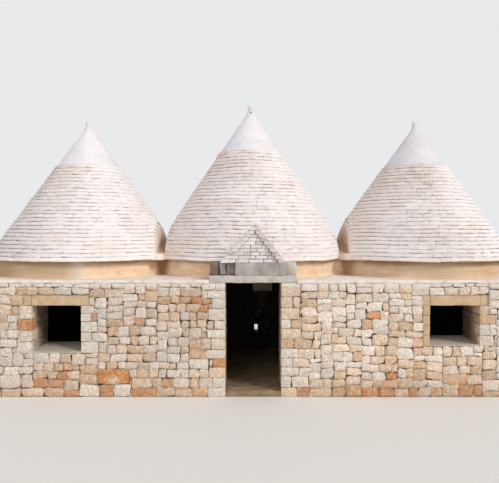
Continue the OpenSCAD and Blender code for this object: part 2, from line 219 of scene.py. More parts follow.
def tiles(rects, draw, pattern, joint, wobble, corner, crown, slope, ragged):
    """Rounded stones over rectangles (left, right, low, high): across, up and out for each point of each
    tile, and how far it is in from the rim.

    A point is the bilinear mix of four shifted corners at (u', v'), where u' = u sqrt(1 - k v v / 2)
    and v' = v sqrt(1 - k u u / 2) round the outline, moved by noise that differs from tile to tile. Its
    height out of the wall falls to nothing at the rim as ((1 - u^8)(1 - v^8))^0.4, plus a low crown
    (1 - u u)(1 - v v) and a small random tilt."""
    n, u, v = len(rects), pattern["u"], pattern["v"]
    roundness = draw.uniform(*corner, (n, 1))
    ur, vr = u * np.sqrt(1 - roundness * v * v / 2), v * np.sqrt(1 - roundness * u * u / 2)
    gap = joint * draw.random((n, 1)) ** 2
    shift = draw.uniform(-wobble, wobble, (8, n, 1))
    edges = []
    for i, c in enumerate((vr, vr, ur, ur)):
        inset = -gap / 2 if i % 2 else gap / 2
        edges.append(rects[:, i:i + 1] + inset + np.where(c < 0, shift[2 * i], shift[2 * i + 1]) * np.abs(c))
    west, east, south, north = edges
    across = west + (east - west) * (1 + ur) / 2
    up = south + (north - south) * (1 + vr) / 2
    own = draw.uniform(0, 50, (n, 1))
    place = across + own, up, own
    shake = [ragged * (waves(*place, 900 + j, 0.11) + 0.5 * waves(*place, 902 + j, 0.04)) for j in range(2)]
    fall = unit((1 - u ** 8) * (1 - v ** 8)) ** 0.4 * np.ones((n, 1))
    tilt = draw.uniform(-slope, slope, (2, n, 1))
    out = fall * (1 + draw.uniform(-0.3, 0.3, (n, 1))) + (tilt[0] * u + tilt[1] * v) * fall
    out = out + draw.uniform(0.0, crown, (n, 1)) * (1 - u * u) * (1 - v * v)
    return across + shake[0], up + shake[1], out, fall


def tile_piece(name, pattern, points, tint, material):
    """One piece from all the tiles' points, with each tile's faces numbered on from the last."""
    first = np.arange(len(points))[:, None] * points.shape[1]
    make_piece(name, points, pattern["quads"] + first[..., None], material, pattern["back"] + first,
               tint)


def worn_block(low, high, radius, cells):
    """Points and quads of a rounded box: six grids whose points are pulled to radius from the inner box,
    joined where they share a place.

    For a surface point q, the inner box is the box less radius all round, c is q clamped to it, and the
    result is c + radius (q - c) / |q - c|."""
    axes = [np.concatenate([[a, a + radius * 0.3], np.linspace(a + radius, b - radius, count + 1),
                            [b - radius * 0.3, b]]) for a, b, count in zip(low, high, cells)]
    points, quads, total = [], [], 0
    for axis in range(3):
        a, b = (axis + 1) % 3, (axis + 2) % 3
        for end in (low, high):
            grid = np.empty((len(axes[a]), len(axes[b]), 3))
            grid[..., a], grid[..., b], grid[..., axis] = axes[a][:, None], axes[b], end[axis]
            quad = grid_faces(*grid.shape[:2])[0] + total
            points.append(grid.reshape(-1, 3))
            quads.append(quad if end is high else quad[:, ::-1])
            total += len(points[-1])
    q = np.concatenate(points)
    c = np.clip(q, low + radius, high - radius)
    q = c + radius * (q - c) / np.linalg.norm(q - c, axis=1, keepdims=True)
    places = np.round(q * 1e5).astype(np.int64)
    _, first, same = np.unique(places, axis=0, return_index=True, return_inverse=True)
    return q[first], same.ravel()[np.concatenate(quads)]


def block_piece(name, blocks, material, replaced=()):
    """One piece from many blocks, each its points, its quads and its points' tint."""
    points, quads, tint = zip(*blocks)
    starts = np.cumsum([0] + [len(p) for p in points[:-1]])
    quads = np.concatenate([faces + start for faces, start in zip(quads, starts)])
    make_piece(name, np.concatenate(points), quads, material, (), np.concatenate(tint), replaced)


# Materials

def linear(code):
    """An sRGB hex colour as linear red, green and blue with alpha 1."""
    parts = [int(code[i:i + 2], 16) / 255 for i in (1, 3, 5)]
    return [c / 12.92 if c <= 0.04045 else ((c + 0.055) / 1.055) ** 2.4 for c in parts] + [1.0]


def per_mm(size):
    """Pattern scale at which one cell of a texture is about this many millimetres."""
    return 1000.0 / size


def add(tree, kind, inputs=(), stops=(), take=0, **settings):
    """Adds a node to a tree with its settings, its ramp stops and its values or links, listed in order or by
    name. Take is the output socket to hand back, or a tuple of them."""
    made = tree.nodes.new("ShaderNode" + kind)
    for key, value in settings.items():
        setattr(made, key, value)
    for _ in stops[2:]:
        made.color_ramp.elements.new(1.0)
    for i, (place, colour) in enumerate(stops):
        made.color_ramp.elements[i].position = place
        made.color_ramp.elements[i].color = linear(colour)
    for key, value in inputs.items() if isinstance(inputs, dict) else enumerate(inputs):
        if isinstance(value, bpy.types.NodeSocket):
            tree.links.new(value, made.inputs[key])
        else:
            made.inputs[key].default_value = value
    return [made.outputs[socket] for socket in take] if isinstance(take, tuple) else made.outputs[take]


# A colour mix: the inputs of its two colours, and its settings for a plain mix and for a darkening one
MIX_A, MIX_B = 6, 7
MIXED = {"take": 2, "data_type": "RGBA"}
DARKENED = {**MIXED, "blend_type": "MULTIPLY"}


def open_material(name):
    """An empty material, its tree and its points' places."""
    made = bpy.data.materials.new(name)
    made.use_nodes = True
    made.node_tree.nodes.clear()
    return made, made.node_tree, add(made.node_tree, "TexCoord", take="Object")


def tint_channels(tree):
    """The four channels of the points' tint."""
    colour, alpha = add(tree, "Attribute", take=("Color", "Alpha"), attribute_name="tint")
    return *add(tree, "SeparateColor", [colour], take=(0, 1, 2)), alpha


def close_material(tree, colour, height, depth, roughness=0.9):
    """Ends a tree: a rough opaque shader whose bump is the height pattern times a depth in metres."""
    bump = add(tree, "Bump", {"Height": height, "Strength": 1.0, "Distance": depth})
    shader = add(tree, "BsdfPrincipled", {
        "Base Color": colour, "Roughness": roughness, "Specular IOR Level": 0.3, "Normal": bump})
    add(tree, "OutputMaterial", [shader], take=())


def field_limestone_rubble():
    """Field limestone, split and roughly squared by hammer. Each stone has its own colour from grey-white
    through cream and pink to iron-stained orange and rust, clouded within the stone, with dark seams and
    pits.
    Tint: colour, brightness, way in from the rim, lime washed down from the wall top."""
    made, tree, place = open_material("field_limestone_hammer_dressed")
    red, green, blue, alpha = tint_channels(tree)
    cloud = add(tree, "TexNoise", {"Vector": place, "Scale": per_mm(70), "Detail": 5.0, "Roughness": 0.62})
    stray = add(tree, "Math", [cloud, 0.5], operation="SUBTRACT")
    tone = add(tree, "Math", [stray, 0.9, red], operation="MULTIPLY_ADD")
    body = add(tree, "ValToRGB", [tone], [
        (0.00, "#e8ddd0"), (0.12, "#f1e5d9"), (0.28, "#efdcc9"), (0.44, "#ebcfb4"),
        (0.58, "#e3c6a6"), (0.72, "#e2b28c"), (0.86, "#dc9f72"), (1.00, "#cb885a")])
    shade = add(tree, "Mix", {0: 1.0, MIX_A: body, MIX_B: green}, **DARKENED)
    grain = add(tree, "TexNoise", {"Vector": place, "Scale": per_mm(42), "Detail": 6.0, "Roughness": 0.68})
    seam = add(tree, "Math", [grain, 0.47], operation="SUBTRACT")
    seam = add(tree, "Math", [seam], operation="ABSOLUTE")
    seam = add(tree, "MapRange", [seam, 0.0, 0.035, 0.70, 1.0])
    pits = add(tree, "MapRange", [grain, 0.32, 0.68, 0.80, 1.13])
    pits = add(tree, "Math", [pits, seam], operation="MULTIPLY")
    pitted = add(tree, "Mix", {0: 1.0, MIX_A: shade, MIX_B: pits}, **DARKENED)
    rim = add(tree, "MapRange", [blue, 0.0, 0.3, 0.50, 0.0])
    edged = add(tree, "Mix", {0: rim, MIX_A: pitted, MIX_B: linear("#a08b76")}, **MIXED)
    patchy = add(tree, "Math", [stray, 1.7, alpha], operation="MULTIPLY_ADD")
    washed_by = add(tree, "MapRange", [patchy, 0.35, 0.75, 0.0, 0.9])
    washed = add(tree, "Mix", {0: washed_by, MIX_A: edged, MIX_B: linear("#efe4d9")}, **MIXED)
    height = add(tree, "Math", [cloud, 1.6, grain], operation="MULTIPLY_ADD")
    close_material(tree, washed, height, 0.018, 0.92)
    return made


def limewashed_roof_slab():
    """Split limestone slabs under old lime wash: near white, greyer slab by slab, peach where the stone's own
    colour comes through, with the wash worn to grey at the edges and dark specks of lichen along the joints,
    denser on each cone's left as painted shade.
    Tint: greyness, which also carries painted shade, brightness, way in from the open joints, peach."""
    made, tree, place = open_material("limestone_slab_limewashed")
    red, green, blue, alpha = tint_channels(tree)
    cloud = add(tree, "TexNoise", {"Vector": place, "Scale": per_mm(110), "Detail": 5.0, "Roughness": 0.6})
    stray = add(tree, "Math", [cloud, 0.5], operation="SUBTRACT")
    tone = add(tree, "Math", [stray, 0.9, red], operation="MULTIPLY_ADD")
    body = add(tree, "ValToRGB", [tone], [(0.00, "#f4eff0"), (0.30, "#efe8e7"), (0.50, "#e7dedb"),
                                          (0.68, "#d9d2ce"), (0.84, "#c6bfbb"), (1.00, "#aea6a2")])
    shade = add(tree, "Mix", {0: 1.0, MIX_A: body, MIX_B: green}, **DARKENED)
    grain = add(tree, "TexNoise", {"Vector": place, "Scale": per_mm(14), "Detail": 4.0, "Roughness": 0.68})
    warm = add(tree, "Mix", {0: alpha, MIX_A: shade, MIX_B: linear("#eacdb4")}, **MIXED)
    worn = add(tree, "MapRange", [blue, 0.0, 0.85, 0.26, -0.12])
    speck = add(tree, "Math", [grain, worn], operation="ADD")
    mask = add(tree, "MapRange", [speck, 0.58, 0.70, 0.0, 0.92])
    specked = add(tree, "Mix", {0: mask, MIX_A: warm, MIX_B: linear("#7d736a")}, **MIXED)
    close_material(tree, specked, grain, 0.004)
    return made


def mineral_surface(tree, place, cloud, body, cell, darkest, depth, roughness=0.9):
    """Ends a tree: a fine grain darkens the body, and its bump is 2 clouds + grain."""
    grain = add(tree, "TexNoise", {"Vector": place, "Scale": per_mm(cell), "Detail": 4.0, "Roughness": 0.7})
    fleck = add(tree, "MapRange", [grain, 0.30, 0.60, darkest, 1.03])
    shade = add(tree, "Mix", {0: 1.0, MIX_A: body, MIX_B: fleck}, **DARKENED)
    height = add(tree, "Math", [cloud, 2.0, grain], operation="MULTIPLY_ADD")
    close_material(tree, shade, height, depth, roughness)


def plain_masonry(name, stops, cell, depth, roughness=0.9, stretch=(1.0, 1.0, 1.0), second=None,
                  inside_shade=None):
    """A mineral surface clouded between a few colours, with a fine grain a tenth as wide as its clouds. A
    second colour comes in where the points' tint is red, and a dark colour of painted shade for the rooms
    over 0.3 m that starts 0.3 m in from the house's outer faces, by min(half depth - |y|, half length - |x|)."""
    made, tree, place = open_material(name)
    laid = add(tree, "Mapping", {"Vector": place, "Scale": stretch})
    cloud = add(tree, "TexNoise", {"Vector": laid, "Scale": per_mm(cell), "Detail": 5.0, "Roughness": 0.6})
    body = add(tree, "ValToRGB", [cloud], stops)
    if second:
        body = add(tree, "Mix", {0: tint_channels(tree)[0], MIX_A: body, MIX_B: linear(second)}, **MIXED)
    if inside_shade:
        # Painted shade: the rooms inside darken to this colour
        inside = add(tree, "VectorMath", [place], operation="ABSOLUTE")
        inside = add(tree, "VectorMath", [(HALF_LENGTH, HALF_DEPTH, 0.0), inside], operation="SUBTRACT")
        inside = add(tree, "Math", add(tree, "SeparateXYZ", [inside], take=(0, 1)), operation="MINIMUM")
        inside = add(tree, "MapRange", [inside, 0.30, 0.60, 0.0, 0.95])
        body = add(tree, "Mix", {0: inside, MIX_A: body, MIX_B: linear(inside_shade)}, **MIXED)
    mineral_surface(tree, place, cloud, body, cell / 10, 0.86, depth, roughness)
    return made


def drum_render():
    """Thin lime render over tufa blocks: peach and ochre in soft clouds, with faint level bands from the
    blocks' courses.
    Tint: brown damp stains deepened by painted shade under the eaves and in the notches, pale patches of
    newer lime, older beige stretches."""
    made, tree, place = open_material("tufa_render_damp_and_shade")
    damp_and_shade, newer, older, _ = tint_channels(tree)
    cloud = add(tree, "TexNoise", {"Vector": place, "Scale": per_mm(380), "Detail": 5.0, "Roughness": 0.6})
    body = add(tree, "ValToRGB", [cloud], [
        (0.30, "#e9c39c"), (0.44, "#f2d3b2"), (0.58, "#f6dcc0"), (0.74, "#f9e6d2")])
    laid = add(tree, "Mapping", {"Vector": place, "Scale": (0.16, 0.16, 1.6)})
    band = add(tree, "TexNoise", {"Vector": laid, "Scale": per_mm(70), "Detail": 4.0, "Roughness": 0.6})
    # Brown damp stains, deepened as painted shade under the eaves and in the notches between drums
    damp_shade_share = add(tree, "Math", [band, damp_and_shade], operation="ADD")
    damp_shade_share = add(tree, "MapRange", [damp_shade_share, 0.50, 1.30, 0.0, 0.88])
    for share, colour in ((damp_shade_share, "#96683c"), (newer, "#ddd0c6"), (older, "#b59a76")):
        body = add(tree, "Mix", {0: share, MIX_A: body, MIX_B: linear(colour)}, **MIXED)
    mineral_surface(tree, place, cloud, body, 24, 0.92, 0.003)
    return made


RUBBLE = field_limestone_rubble()
ROOF_SLAB = limewashed_roof_slab()
# Lime plaster trowelled smooth: even and near white, with faint warm and grey clouds
TIP_PLASTER = plain_masonry("lime_plaster_trowelled", [
    (0.26, "#dcd7da"), (0.42, "#e8e4e6"), (0.60, "#efecee"), (0.78, "#e6e0de")],
    cell=320, depth=0.002, roughness=0.85, second="#c9c1c2")
DRUM_TUFA = drum_render()
# Sawn tufa: even ochre with fine pores
DRESSED_TUFA = plain_masonry("tufa_sawn", [
    (0.30, "#bb9a75"), (0.45, "#cdaf8b"), (0.60, "#d5bb99"), (0.80, "#cfbfa5")],
    cell=160, depth=0.003)
# Grey limestone and cement: cool grey with darker weather stains
GREY_STONE = plain_masonry("limestone_weathered_grey", [
    (0.25, "#8b8580"), (0.42, "#a39d97"), (0.58, "#b5afa8"), (0.80, "#c9c2ba")],
    cell=180, depth=0.004, stretch=(1.0, 1.0, 0.45))
# Pale limestone slab over the door: light grey with a few darker clouds
LINTEL_STONE = plain_masonry("limestone_slab_pale", [
    (0.25, "#a49c94"), (0.40, "#c0b8b0"), (0.58, "#cfc8c0"), (0.80, "#dcd5cd")],
    cell=150, depth=0.005, stretch=(1.0, 1.0, 0.6))
# Brown-grey rubble bedded beside the lintel block, some of it darker
BROWN_STONE = plain_masonry("limestone_stained_brown", [
    (0.25, "#8a7a72"), (0.45, "#a59690"), (0.60, "#b8a9a2"), (0.80, "#c8bab0")],
    cell=120, depth=0.005, roughness=0.92, stretch=(1.0, 1.0, 0.4), second="#74604f")
# Lime mortar floated over the wall tops: pale cream, stained in blots
BED_MORTAR = plain_masonry("lime_mortar_floated", [
    (0.26, "#cbbbab"), (0.40, "#e2d5c9"), (0.56, "#efe4da"), (0.75, "#f5ede6")],
    cell=140, depth=0.004)
# Earth and lime packed behind the face stones: dark brown in the open joints, pale where lime fills them, and
# painted dark as shade in the rooms
JOINT_EARTH = plain_masonry("earth_mortar_packed", [
    (0.38, "#33271e"), (0.49, "#6e5b48"), (0.57, "#bda78f"), (0.68, "#e0d0be")],
    cell=120, depth=0.004, inside_shade="#342d26")
# Lime bedding behind the roofing slabs: grey and rough
ROOF_BEDDING = plain_masonry("lime_bedding_rough", [
    (0.30, "#a49a94"), (0.50, "#beb5af"), (0.70, "#cfc7c3")],
    cell=90, depth=0.004)
# Lime and earth plaster on the trimmed flanks: brown, rubbed by hand, lime-washed round the corners
FLANK_PLASTER = plain_masonry("lime_earth_plaster_rubbed", [
    (0.30, "#a47f5f"), (0.48, "#bd9671"), (0.64, "#cca886"), (0.82, "#d5b89b")],
    cell=220, depth=0.003, roughness=0.92, stretch=(1.0, 1.0, 0.4), second="#f0e0d6")
# The same mortar as on the wall tops, browned by run-off down in the valleys
VALLEY_MORTAR = plain_masonry("lime_mortar_run_off", [
    (0.26, "#d6c6b6"), (0.40, "#e8dbcf"), (0.56, "#f2e7dd"), (0.75, "#f5ede6")],
    cell=140, depth=0.004, second="#a98768")
# Stone over the niche, lime-washed: creamy and even
NICHE_STONE = plain_masonry("limestone_limewashed_cream", [
    (0.30, "#efe0bf"), (0.50, "#f7ebcd"), (0.75, "#f4e4c4")],
    cell=200, depth=0.002)
# Window sills: pale stone greyed by rain and dust
SILL_STONE = plain_masonry("limestone_sill_greyed", [
    (0.30, "#a39b8e"), (0.45, "#b8b0a3"), (0.60, "#c4bcb0"), (0.80, "#d0c9be")],
    cell=90, depth=0.004)
# Corbelled limestone inside, washed and painted dark as the room's shade: dull warm grey
INNER_STONE = plain_masonry("limestone_corbelled_shaded_dark", [
    (0.30, "#544c40"), (0.50, "#5d5548"), (0.70, "#665e50")],
    cell=150, depth=0.002)
# Painted shade in the mouth of a vent: near black, for the dark of the hole
HOLE_SHADE = plain_masonry("hole_shade_painted", [
    (0.30, "#2c2622"), (0.55, "#3d352f"), (0.80, "#57493f")],
    cell=40, depth=0.002)
# Worn paving: brown-grey slabs with trodden earth
PAVING = plain_masonry("limestone_paving_trodden", [
    (0.30, "#77644b"), (0.50, "#957d60"), (0.70, "#ad9677")],
    cell=240, depth=0.004)

# The solids' finish by their slot, and the solids that differ from their slot
SLOT_FINISH = {"rubble": JOINT_EARTH, "corbelled_stone": INNER_STONE, "paving": PAVING,
               "limestone": GREY_STONE, "roof_stone": ROOF_BEDDING, "tufa": DRUM_TUFA,
               "mortar": BED_MORTAR, "lime_plaster": TIP_PLASTER}
NODE_FINISH = {"lintel_shoulder_left": BROWN_STONE, "niche_lintel": NICHE_STONE,
               "window_sill_left": SILL_STONE, "window_sill_right": SILL_STONE,
               "window_lintel_inner_left": DRESSED_TUFA, "window_lintel_inner_right": DRESSED_TUFA}
for part in frame["record"]["subparts"]:
    node = frame["nodes"][part["node"]]
    node.data.materials.clear()
    node.data.materials.append(NODE_FINISH.get(part["node"], SLOT_FINISH[part["material_slot"]]))


# Laying out the walls

def snap(value):
    """The nearest line of the grid on which the rubble is laid."""
    return round(value / GRID) * GRID


def lay_rubble(width, height, holes, draw, wide):
    """Squared rubble over a wall as rectangles: each stone goes on the lowest bed, and its top is levelled
    with a neighbour's where that is near. Holes are openings and larger stones to fit round."""
    cells, roof = int(round(width / GRID)), int(round(height / GRID))
    holes = sorted((tuple(int(round(c / GRID)) for c in hole) for hole in holes), key=lambda hole: hole[2])
    bed = np.zeros(cells, int)
    stones = []

    def raise_over_holes():
        """Lifts the beds that have reached the foot of a hole to its head."""
        for a, b, low, high in holes:
            part = bed[max(a, 0):b]
            part[(part >= low) & (part < high)] = high

    raise_over_holes()
    while bed.min() < roof:
        level, start = bed.min(), int(np.argmin(bed))
        end = start
        while end < cells and bed[end] == level:
            end += 1
        in_footing = level * GRID < FOOTING
        low_w, high_w = wide[0] / GRID, wide[1] / GRID * (1.35 if in_footing else 1.0)
        free = end - start
        w = int(draw.triangular(low_w, 0.45 * (low_w + high_w), high_w))
        # A rest too narrow for a stone of its own goes to this one, or both share the room
        if free - w < low_w:
            w = free if free < 1.15 * high_w else free // 2
        stop = start + w
        above = [low for a, b, low, _ in holes if low > level and a < stop and b > start]
        limit = min([roof] + above) - level
        low_h, high_h = STONE_TALL[0] / GRID, STONE_TALL[1] / GRID * (1.15 if in_footing else 1.0)
        h = min(int(draw.triangular(low_h, 0.5 * (low_h + high_h), high_h)), int(1.25 * w))
        beside = [bed[start - 1] - level] if start else []
        if stop == end and end < cells:
            beside.append(bed[end] - level)
        near = [t for t in beside if 0.6 * low_h < t and abs(t - h) < 0.045 / GRID]
        if near:
            h = min(near, key=lambda t: abs(t - h))
        if limit - h < 0.75 * low_h:
            h = limit if limit < 1.3 * high_h else limit // 2
        stones.append((start, stop, level, level + h))
        bed[start:stop] = level + h
        raise_over_holes()
    return np.array(stones, float) * GRID


def edge_rows(foot, head, seed, long_short, tall=(0.15, 0.21)):
    """Squared stones up one edge of a wall or opening, long and short by turns, as (low, high, reach along
    the wall, depth into it)."""
    draw = np.random.default_rng(seed)
    height, tops = snap(head - foot), [0.0]
    while height - tops[-1] > 1.6 * tall[1]:
        tops.append(tops[-1] + snap(draw.uniform(*tall)))
    left = height - tops[-1]
    tops += [tops[-1] + snap(left / 2), height] if left > 1.25 * tall[1] else [height]
    rows = []
    for i, (low, high) in enumerate(zip(tops[:-1], tops[1:])):
        reach, depth = (snap(long_short[(i + j) % 2] + draw.uniform(-0.03, 0.05)) for j in range(2))
        rows.append((foot + low, foot + high, reach, depth))
    return rows


# Openings as (the two edges' x, foot, head), and the squared stones up their edges and the house's corners
OPENINGS = {"door": ([corner[0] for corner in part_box("door_threshold")], 0.0, WALL_TOP)}
for side in ("left", "right"):
    sill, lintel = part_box("window_sill_" + side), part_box("window_lintel_" + side)
    OPENINGS["window_" + side] = ([corner[0] for corner in sill], sill[0][2], lintel[0][2])
JAMBS = {(name, side): edge_rows(*OPENINGS[name][1:], seed, long_short) for name, side, seed, long_short in (
    ("door", -1, 11, (0.30, 0.19)), ("door", 1, 12, (0.30, 0.19)), ("window_left", -1, 13, (0.26, 0.16)),
    ("window_left", 1, 14, (0.26, 0.16)), ("window_right", 1, 15, (0.24, 0.15)))}
CORNERS = {corner: edge_rows(0.0, WALL_TOP, 20 + i, (0.36, 0.22))
           for i, corner in enumerate([(-1, -1), (1, -1), (1, 1), (-1, 1)])}


# Walls: face stones over the solids

def stone_tints(rects, fall, draw, seed, patches):
    """Tint of each point of each tile. The share of iron-stained stone is broad noise over the wall, more
    within half a metre of its foot, and round patches (x, z, reach, gain) that fade as
    exp(-(distance / reach)^2)."""
    n = len(rects)
    x, z = (rects[:, 0] + rects[:, 1]) / 2, (rects[:, 2] + rects[:, 3]) / 2
    share = 0.16 + 0.24 * np.clip(waves(x, 0, z, seed, 2.2), -1, 1) + 0.50 * ramp(z, 0.45, 0)
    for px, pz, reach, gain in patches:
        share = share + gain * np.exp(-((x - px) ** 2 + (z - pz) ** 2) / reach ** 2)
    tone = np.clip(draw.normal(0.17, 0.16, n) + share * draw.uniform(0.2, 1.0, n), 0.0, 0.80)
    rust = draw.random(n) < 0.008 + 0.11 * unit(share) ** 2
    tone = np.where(rust, draw.uniform(0.70, 0.90, n), tone)
    light = draw.uniform(0.87, 1.08, n) - 0.04 * (tone > 0.4) + 0.08 * rust
    return tints(fall.shape, tone[:, None], light[:, None], fall)


def edge_weight(across, up, width, height, holes, reach=0.12):
    """1 well inside a wall, falling to 0 at its edges and at the holes, so that bent joints keep to both."""
    near = np.minimum(np.minimum(across, width - across), np.minimum(up, height - up))
    for a, b, low, high in holes:
        dx = np.maximum(np.maximum(a - across, across - b), 0)
        dz = np.maximum(np.maximum(low - up, up - high), 0)
        near = np.minimum(near, np.hypot(dx, dz))
    return unit(near / reach)


def wall_face(name, origin, along, width, height, holes, seed, proud=STONE_PROUD, wide=(0.11, 0.34),
              patches=(), boulders=(), washed=True, shade=None):
    """Face stones over one flat wall: origin is its lower left corner and along its run, seen from outside.
    A point stands out by proud (0.25 + 0.45 out) and fine noise, and longer waves bend the joints.

    Boulders are single stones (left, right, low, high, tone) that the rubble is laid round. At a share run
    of its width and a rise in metres, one has a pale patch
    exp(-((run - 0.55) / 0.13)^2 - ((rise - 0.06) / 0.07)^2). Shade gives the stones' brightness from a
    point's run across the wall and its height."""
    draw = np.random.default_rng(seed)
    origin, along = np.array(origin, float), np.array(along, float)
    rects = lay_rubble(width, height, holes + [b[:4] for b in boulders], draw, wide)
    rects = np.concatenate([rects, np.array([b[:4] for b in boulders]).reshape(-1, 4)])
    across, up, out, fall = tiles(rects, draw, STONE, joint=0.016, wobble=0.015, corner=(0.02, 0.42),
                                  crown=0.5, slope=0.80, ragged=0.007)
    weight = edge_weight(across, up, width, height, holes)
    x, y = (origin[i] + across * along[i] for i in range(2))
    across = across + weight * 0.010 * (waves(x, y, up, seed + 1, 0.55) + waves(x, y, up, seed + 5, 0.28))
    up = up + weight * (0.012 * waves(x, y, up, seed + 2, 0.6) + 0.010 * waves(x, y, up, seed + 6, 0.30))
    up = np.clip(up, 0.0, height)
    rough = (0.0045 * waves(across, 0, up, seed + 3, 0.085) + draw.normal(0, 0.0012, across.shape)) * fall
    depth = np.clip(proud * (0.25 + 0.45 * out) + rough, 0.001, proud + 0.010)
    depth = np.where(STONE["buried"], -BURIED, depth)
    points = origin + across[..., None] * along + depth[..., None] * (along[1], -along[0], 0.0)
    points[..., 2] += up
    tint = stone_tints(rects, fall, draw, seed + 4, patches)
    for i, (left, right, low, _, tone) in enumerate(boulders, len(rects) - len(boulders)):
        run, rise = (across[i] - left) / (right - left), up[i] - low
        tint[i, :, 0] = tone - 0.80 * np.exp(-((run - 0.55) / 0.13) ** 2 - ((rise - 0.06) / 0.07) ** 2)
        tint[i, :, 1] = 1.10
    tint[..., 1] *= shade(across, up) if shade else 1
    tint[..., 3] = ramp(up, height - 0.16, height) if washed else 0.0
    tile_piece(name, STONE, points, tint, RUBBLE)


def squared_stones(name, boxes, seed, material=RUBBLE, replaced=(), radius=0.012,
                   rough=0.004, tones=()):
    """Squared blocks, each a rounded box shaken by smooth noise, with its own tint."""
    draw = np.random.default_rng(seed)
    blocks = []
    for i, box in enumerate(boxes):
        low, high = (np.array(corner, float) for corner in box)
        cells = np.clip(np.round((high - low) / 0.07).astype(int), 1, 24)
        q, quads = worn_block(low, high, min(radius, 0.3 * (high - low).min()), cells)
        q = q + rough * shaken(q + 3.7 * i, seed, 0.16)
        q[:, 2] = np.maximum(q[:, 2], 0.0)
        tone = tones[i % len(tones)] if tones else min(draw.exponential(0.26), 0.85)
        rim = np.sort(np.abs(q - (low + high) / 2) / ((high - low) / 2), axis=1)[:, 1]
        blocks.append((q, quads, tints([len(q)], tone, draw.uniform(0.9, 1.04), unit((1 - rim) * 6),
                                       ramp(q[:, 2], WALL_TOP - 0.13, WALL_TOP))))
    block_piece(name, blocks, material, replaced)


def edge_boxes(name, lap=0.006):
    """Boxes of the squared stones beside an opening, which lap over its edges a little."""
    boxes = []
    for side in (-1, 1):
        x = OPENINGS[name][0][side > 0]
        for low, high, reach, depth in JAMBS.get((name, side), ()):
            a, b = sorted((x - side * lap, x + side * (reach - JOINT)))
            boxes.append(((a, FRONT - SQUARE_PROUD, low + JOINT), (b, FRONT + depth - JOINT, high - JOINT)))
    return boxes


def front_light(run, up):
    """Brightness of the front's stones: right of the door they are paler, less so at the foot and the top."""
    paler = 0.13 - 0.17 * ramp(up, 0.65, 0.15) - 0.07 * ramp(up, 1.7, 1.9)
    return 0.95 + ramp(run + LEFT_END, 0, 0.8) * paler


# Iron-stained stone lies thickest beside the door and near the foot, and there is one rust boulder. Higher
# up on the right the stone is paler
STAINS = [(x - LEFT_END, *rest) for x, *rest in (
    (-0.80, 1.5, 0.45, 0.55), (0.95, 1.35, 0.45, 0.30), (-3.4, 0.35, 0.45, 0.5), (2.2, 0.3, 0.9, 0.40),
    (1.8, 1.4, 1.0, -0.17), (3.9, 1.3, 1.3, -0.28))]
BOULDERS = [(-2.70 - LEFT_END, -2.15 - LEFT_END, 0.22, 0.49, 0.93)]
# The vent in the rear wall, as left, right, low and high along the wall, seen from outside
VENT = (HALF_LENGTH - 0.20, HALF_LENGTH - 0.085, 0.39, 0.63)
HOLES = {"front": [(x[0] - LEFT_END, x[1] - LEFT_END, foot, head) for x, foot, head in OPENINGS.values()],
         "rear": [VENT], "end_left": [], "end_right": []}
for (name, side), rows in JAMBS.items():
    edge = OPENINGS[name][0][side > 0] - LEFT_END
    HOLES["front"] += [(*sorted((edge, edge + side * reach)), low, high) for low, high, reach, _ in rows]
for node in ("window_lintel_left", "window_lintel_right", "window_jamb_right"):
    low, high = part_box(node)
    HOLES["front"].append((low[0] - LEFT_END, high[0] - LEFT_END, low[2], high[2]))
# The walls by the two corners, as signs of x and y, that each runs between. Along the ends a corner's stones
# take up their depth, the fourth item of their row, and along the front and rear their reach, the third
WALL_ENDS = {"front": ((-1, -1), (1, -1)), "rear": ((1, 1), (-1, 1)), "end_left": ((-1, 1), (-1, -1)),
             "end_right": ((1, -1), (1, 1))}
for seed, (name, ((x0, y0), (x1, y1))) in enumerate(WALL_ENDS.items(), 101):
    width, item = (2 * HALF_LENGTH, 2) if y0 == y1 else (2 * HALF_DEPTH, 3)
    holes = HOLES[name] + [(0.0, row[item], row[0], row[1]) for row in CORNERS[x0, y0]]
    holes += [(width - row[item], width, row[0], row[1]) for row in CORNERS[x1, y1]]
    look = {"patches": STAINS, "boulders": BOULDERS, "shade": front_light} if name == "front" else {}
    wall_face("rubble_" + name, (x0 * HALF_LENGTH, y0 * HALF_DEPTH, 0), ((x1 - x0) / 2, (y1 - y0) / 2, 0),
              width, WALL_TOP, holes, seed, **look)

corner_boxes = []
for (sx, sy), rows in CORNERS.items():
    for low, high, reach, depth in rows:
        x0, x1 = sorted((sx * (HALF_LENGTH + SQUARE_PROUD), sx * (HALF_LENGTH - reach + JOINT)))
        y0, y1 = sorted((sy * (HALF_DEPTH + SQUARE_PROUD), sy * (HALF_DEPTH - depth + JOINT)))
        corner_boxes.append(((x0, y0, low + JOINT), (x1, y1, high - JOINT)))
squared_stones("corner_stones", corner_boxes, 31, radius=0.014, rough=0.006)
squared_stones("door_jamb_stones", edge_boxes("door"), 32)
squared_stones("window_jamb_stones", edge_boxes("window_left") + edge_boxes("window_right"), 33)


def reveal(name, side, seed, inward_shade, foot=0.0):
    """Face stones of one reveal: side -1 is the left side of an opening, which looks right, and 1 the other.
    They darken inwards by the given share, as painted shade of the dark room beyond."""
    edges, opening_foot, head = OPENINGS[name]
    foot = max(foot, opening_foot)
    taken = []
    for low, high, _, depth in JAMBS.get((name, side), [(foot, head, 0.12, 0.30)]):
        run = (0.0, depth) if side < 0 else (WALL_T - depth, WALL_T)
        taken.append((*run, max(low, foot) - foot, high - foot))
    origin = (edges[side > 0], FRONT if side < 0 else -ROOM, foot)
    # The stones' inward darkening is painted shade
    wall_face(f"reveal_{name}_{'left' if side < 0 else 'right'}", origin, (0, -side, 0), WALL_T,
              snap(head - foot), taken, seed, proud=0.008, wide=(0.14, 0.34), washed=False,
              shade=lambda run, up: 1 - inward_shade * ramp(run if side < 0 else WALL_T - run, 0.02, 0.47),
              patches=[(WALL_T / 2, (head - foot) / 2, 2.0, 0.25)])


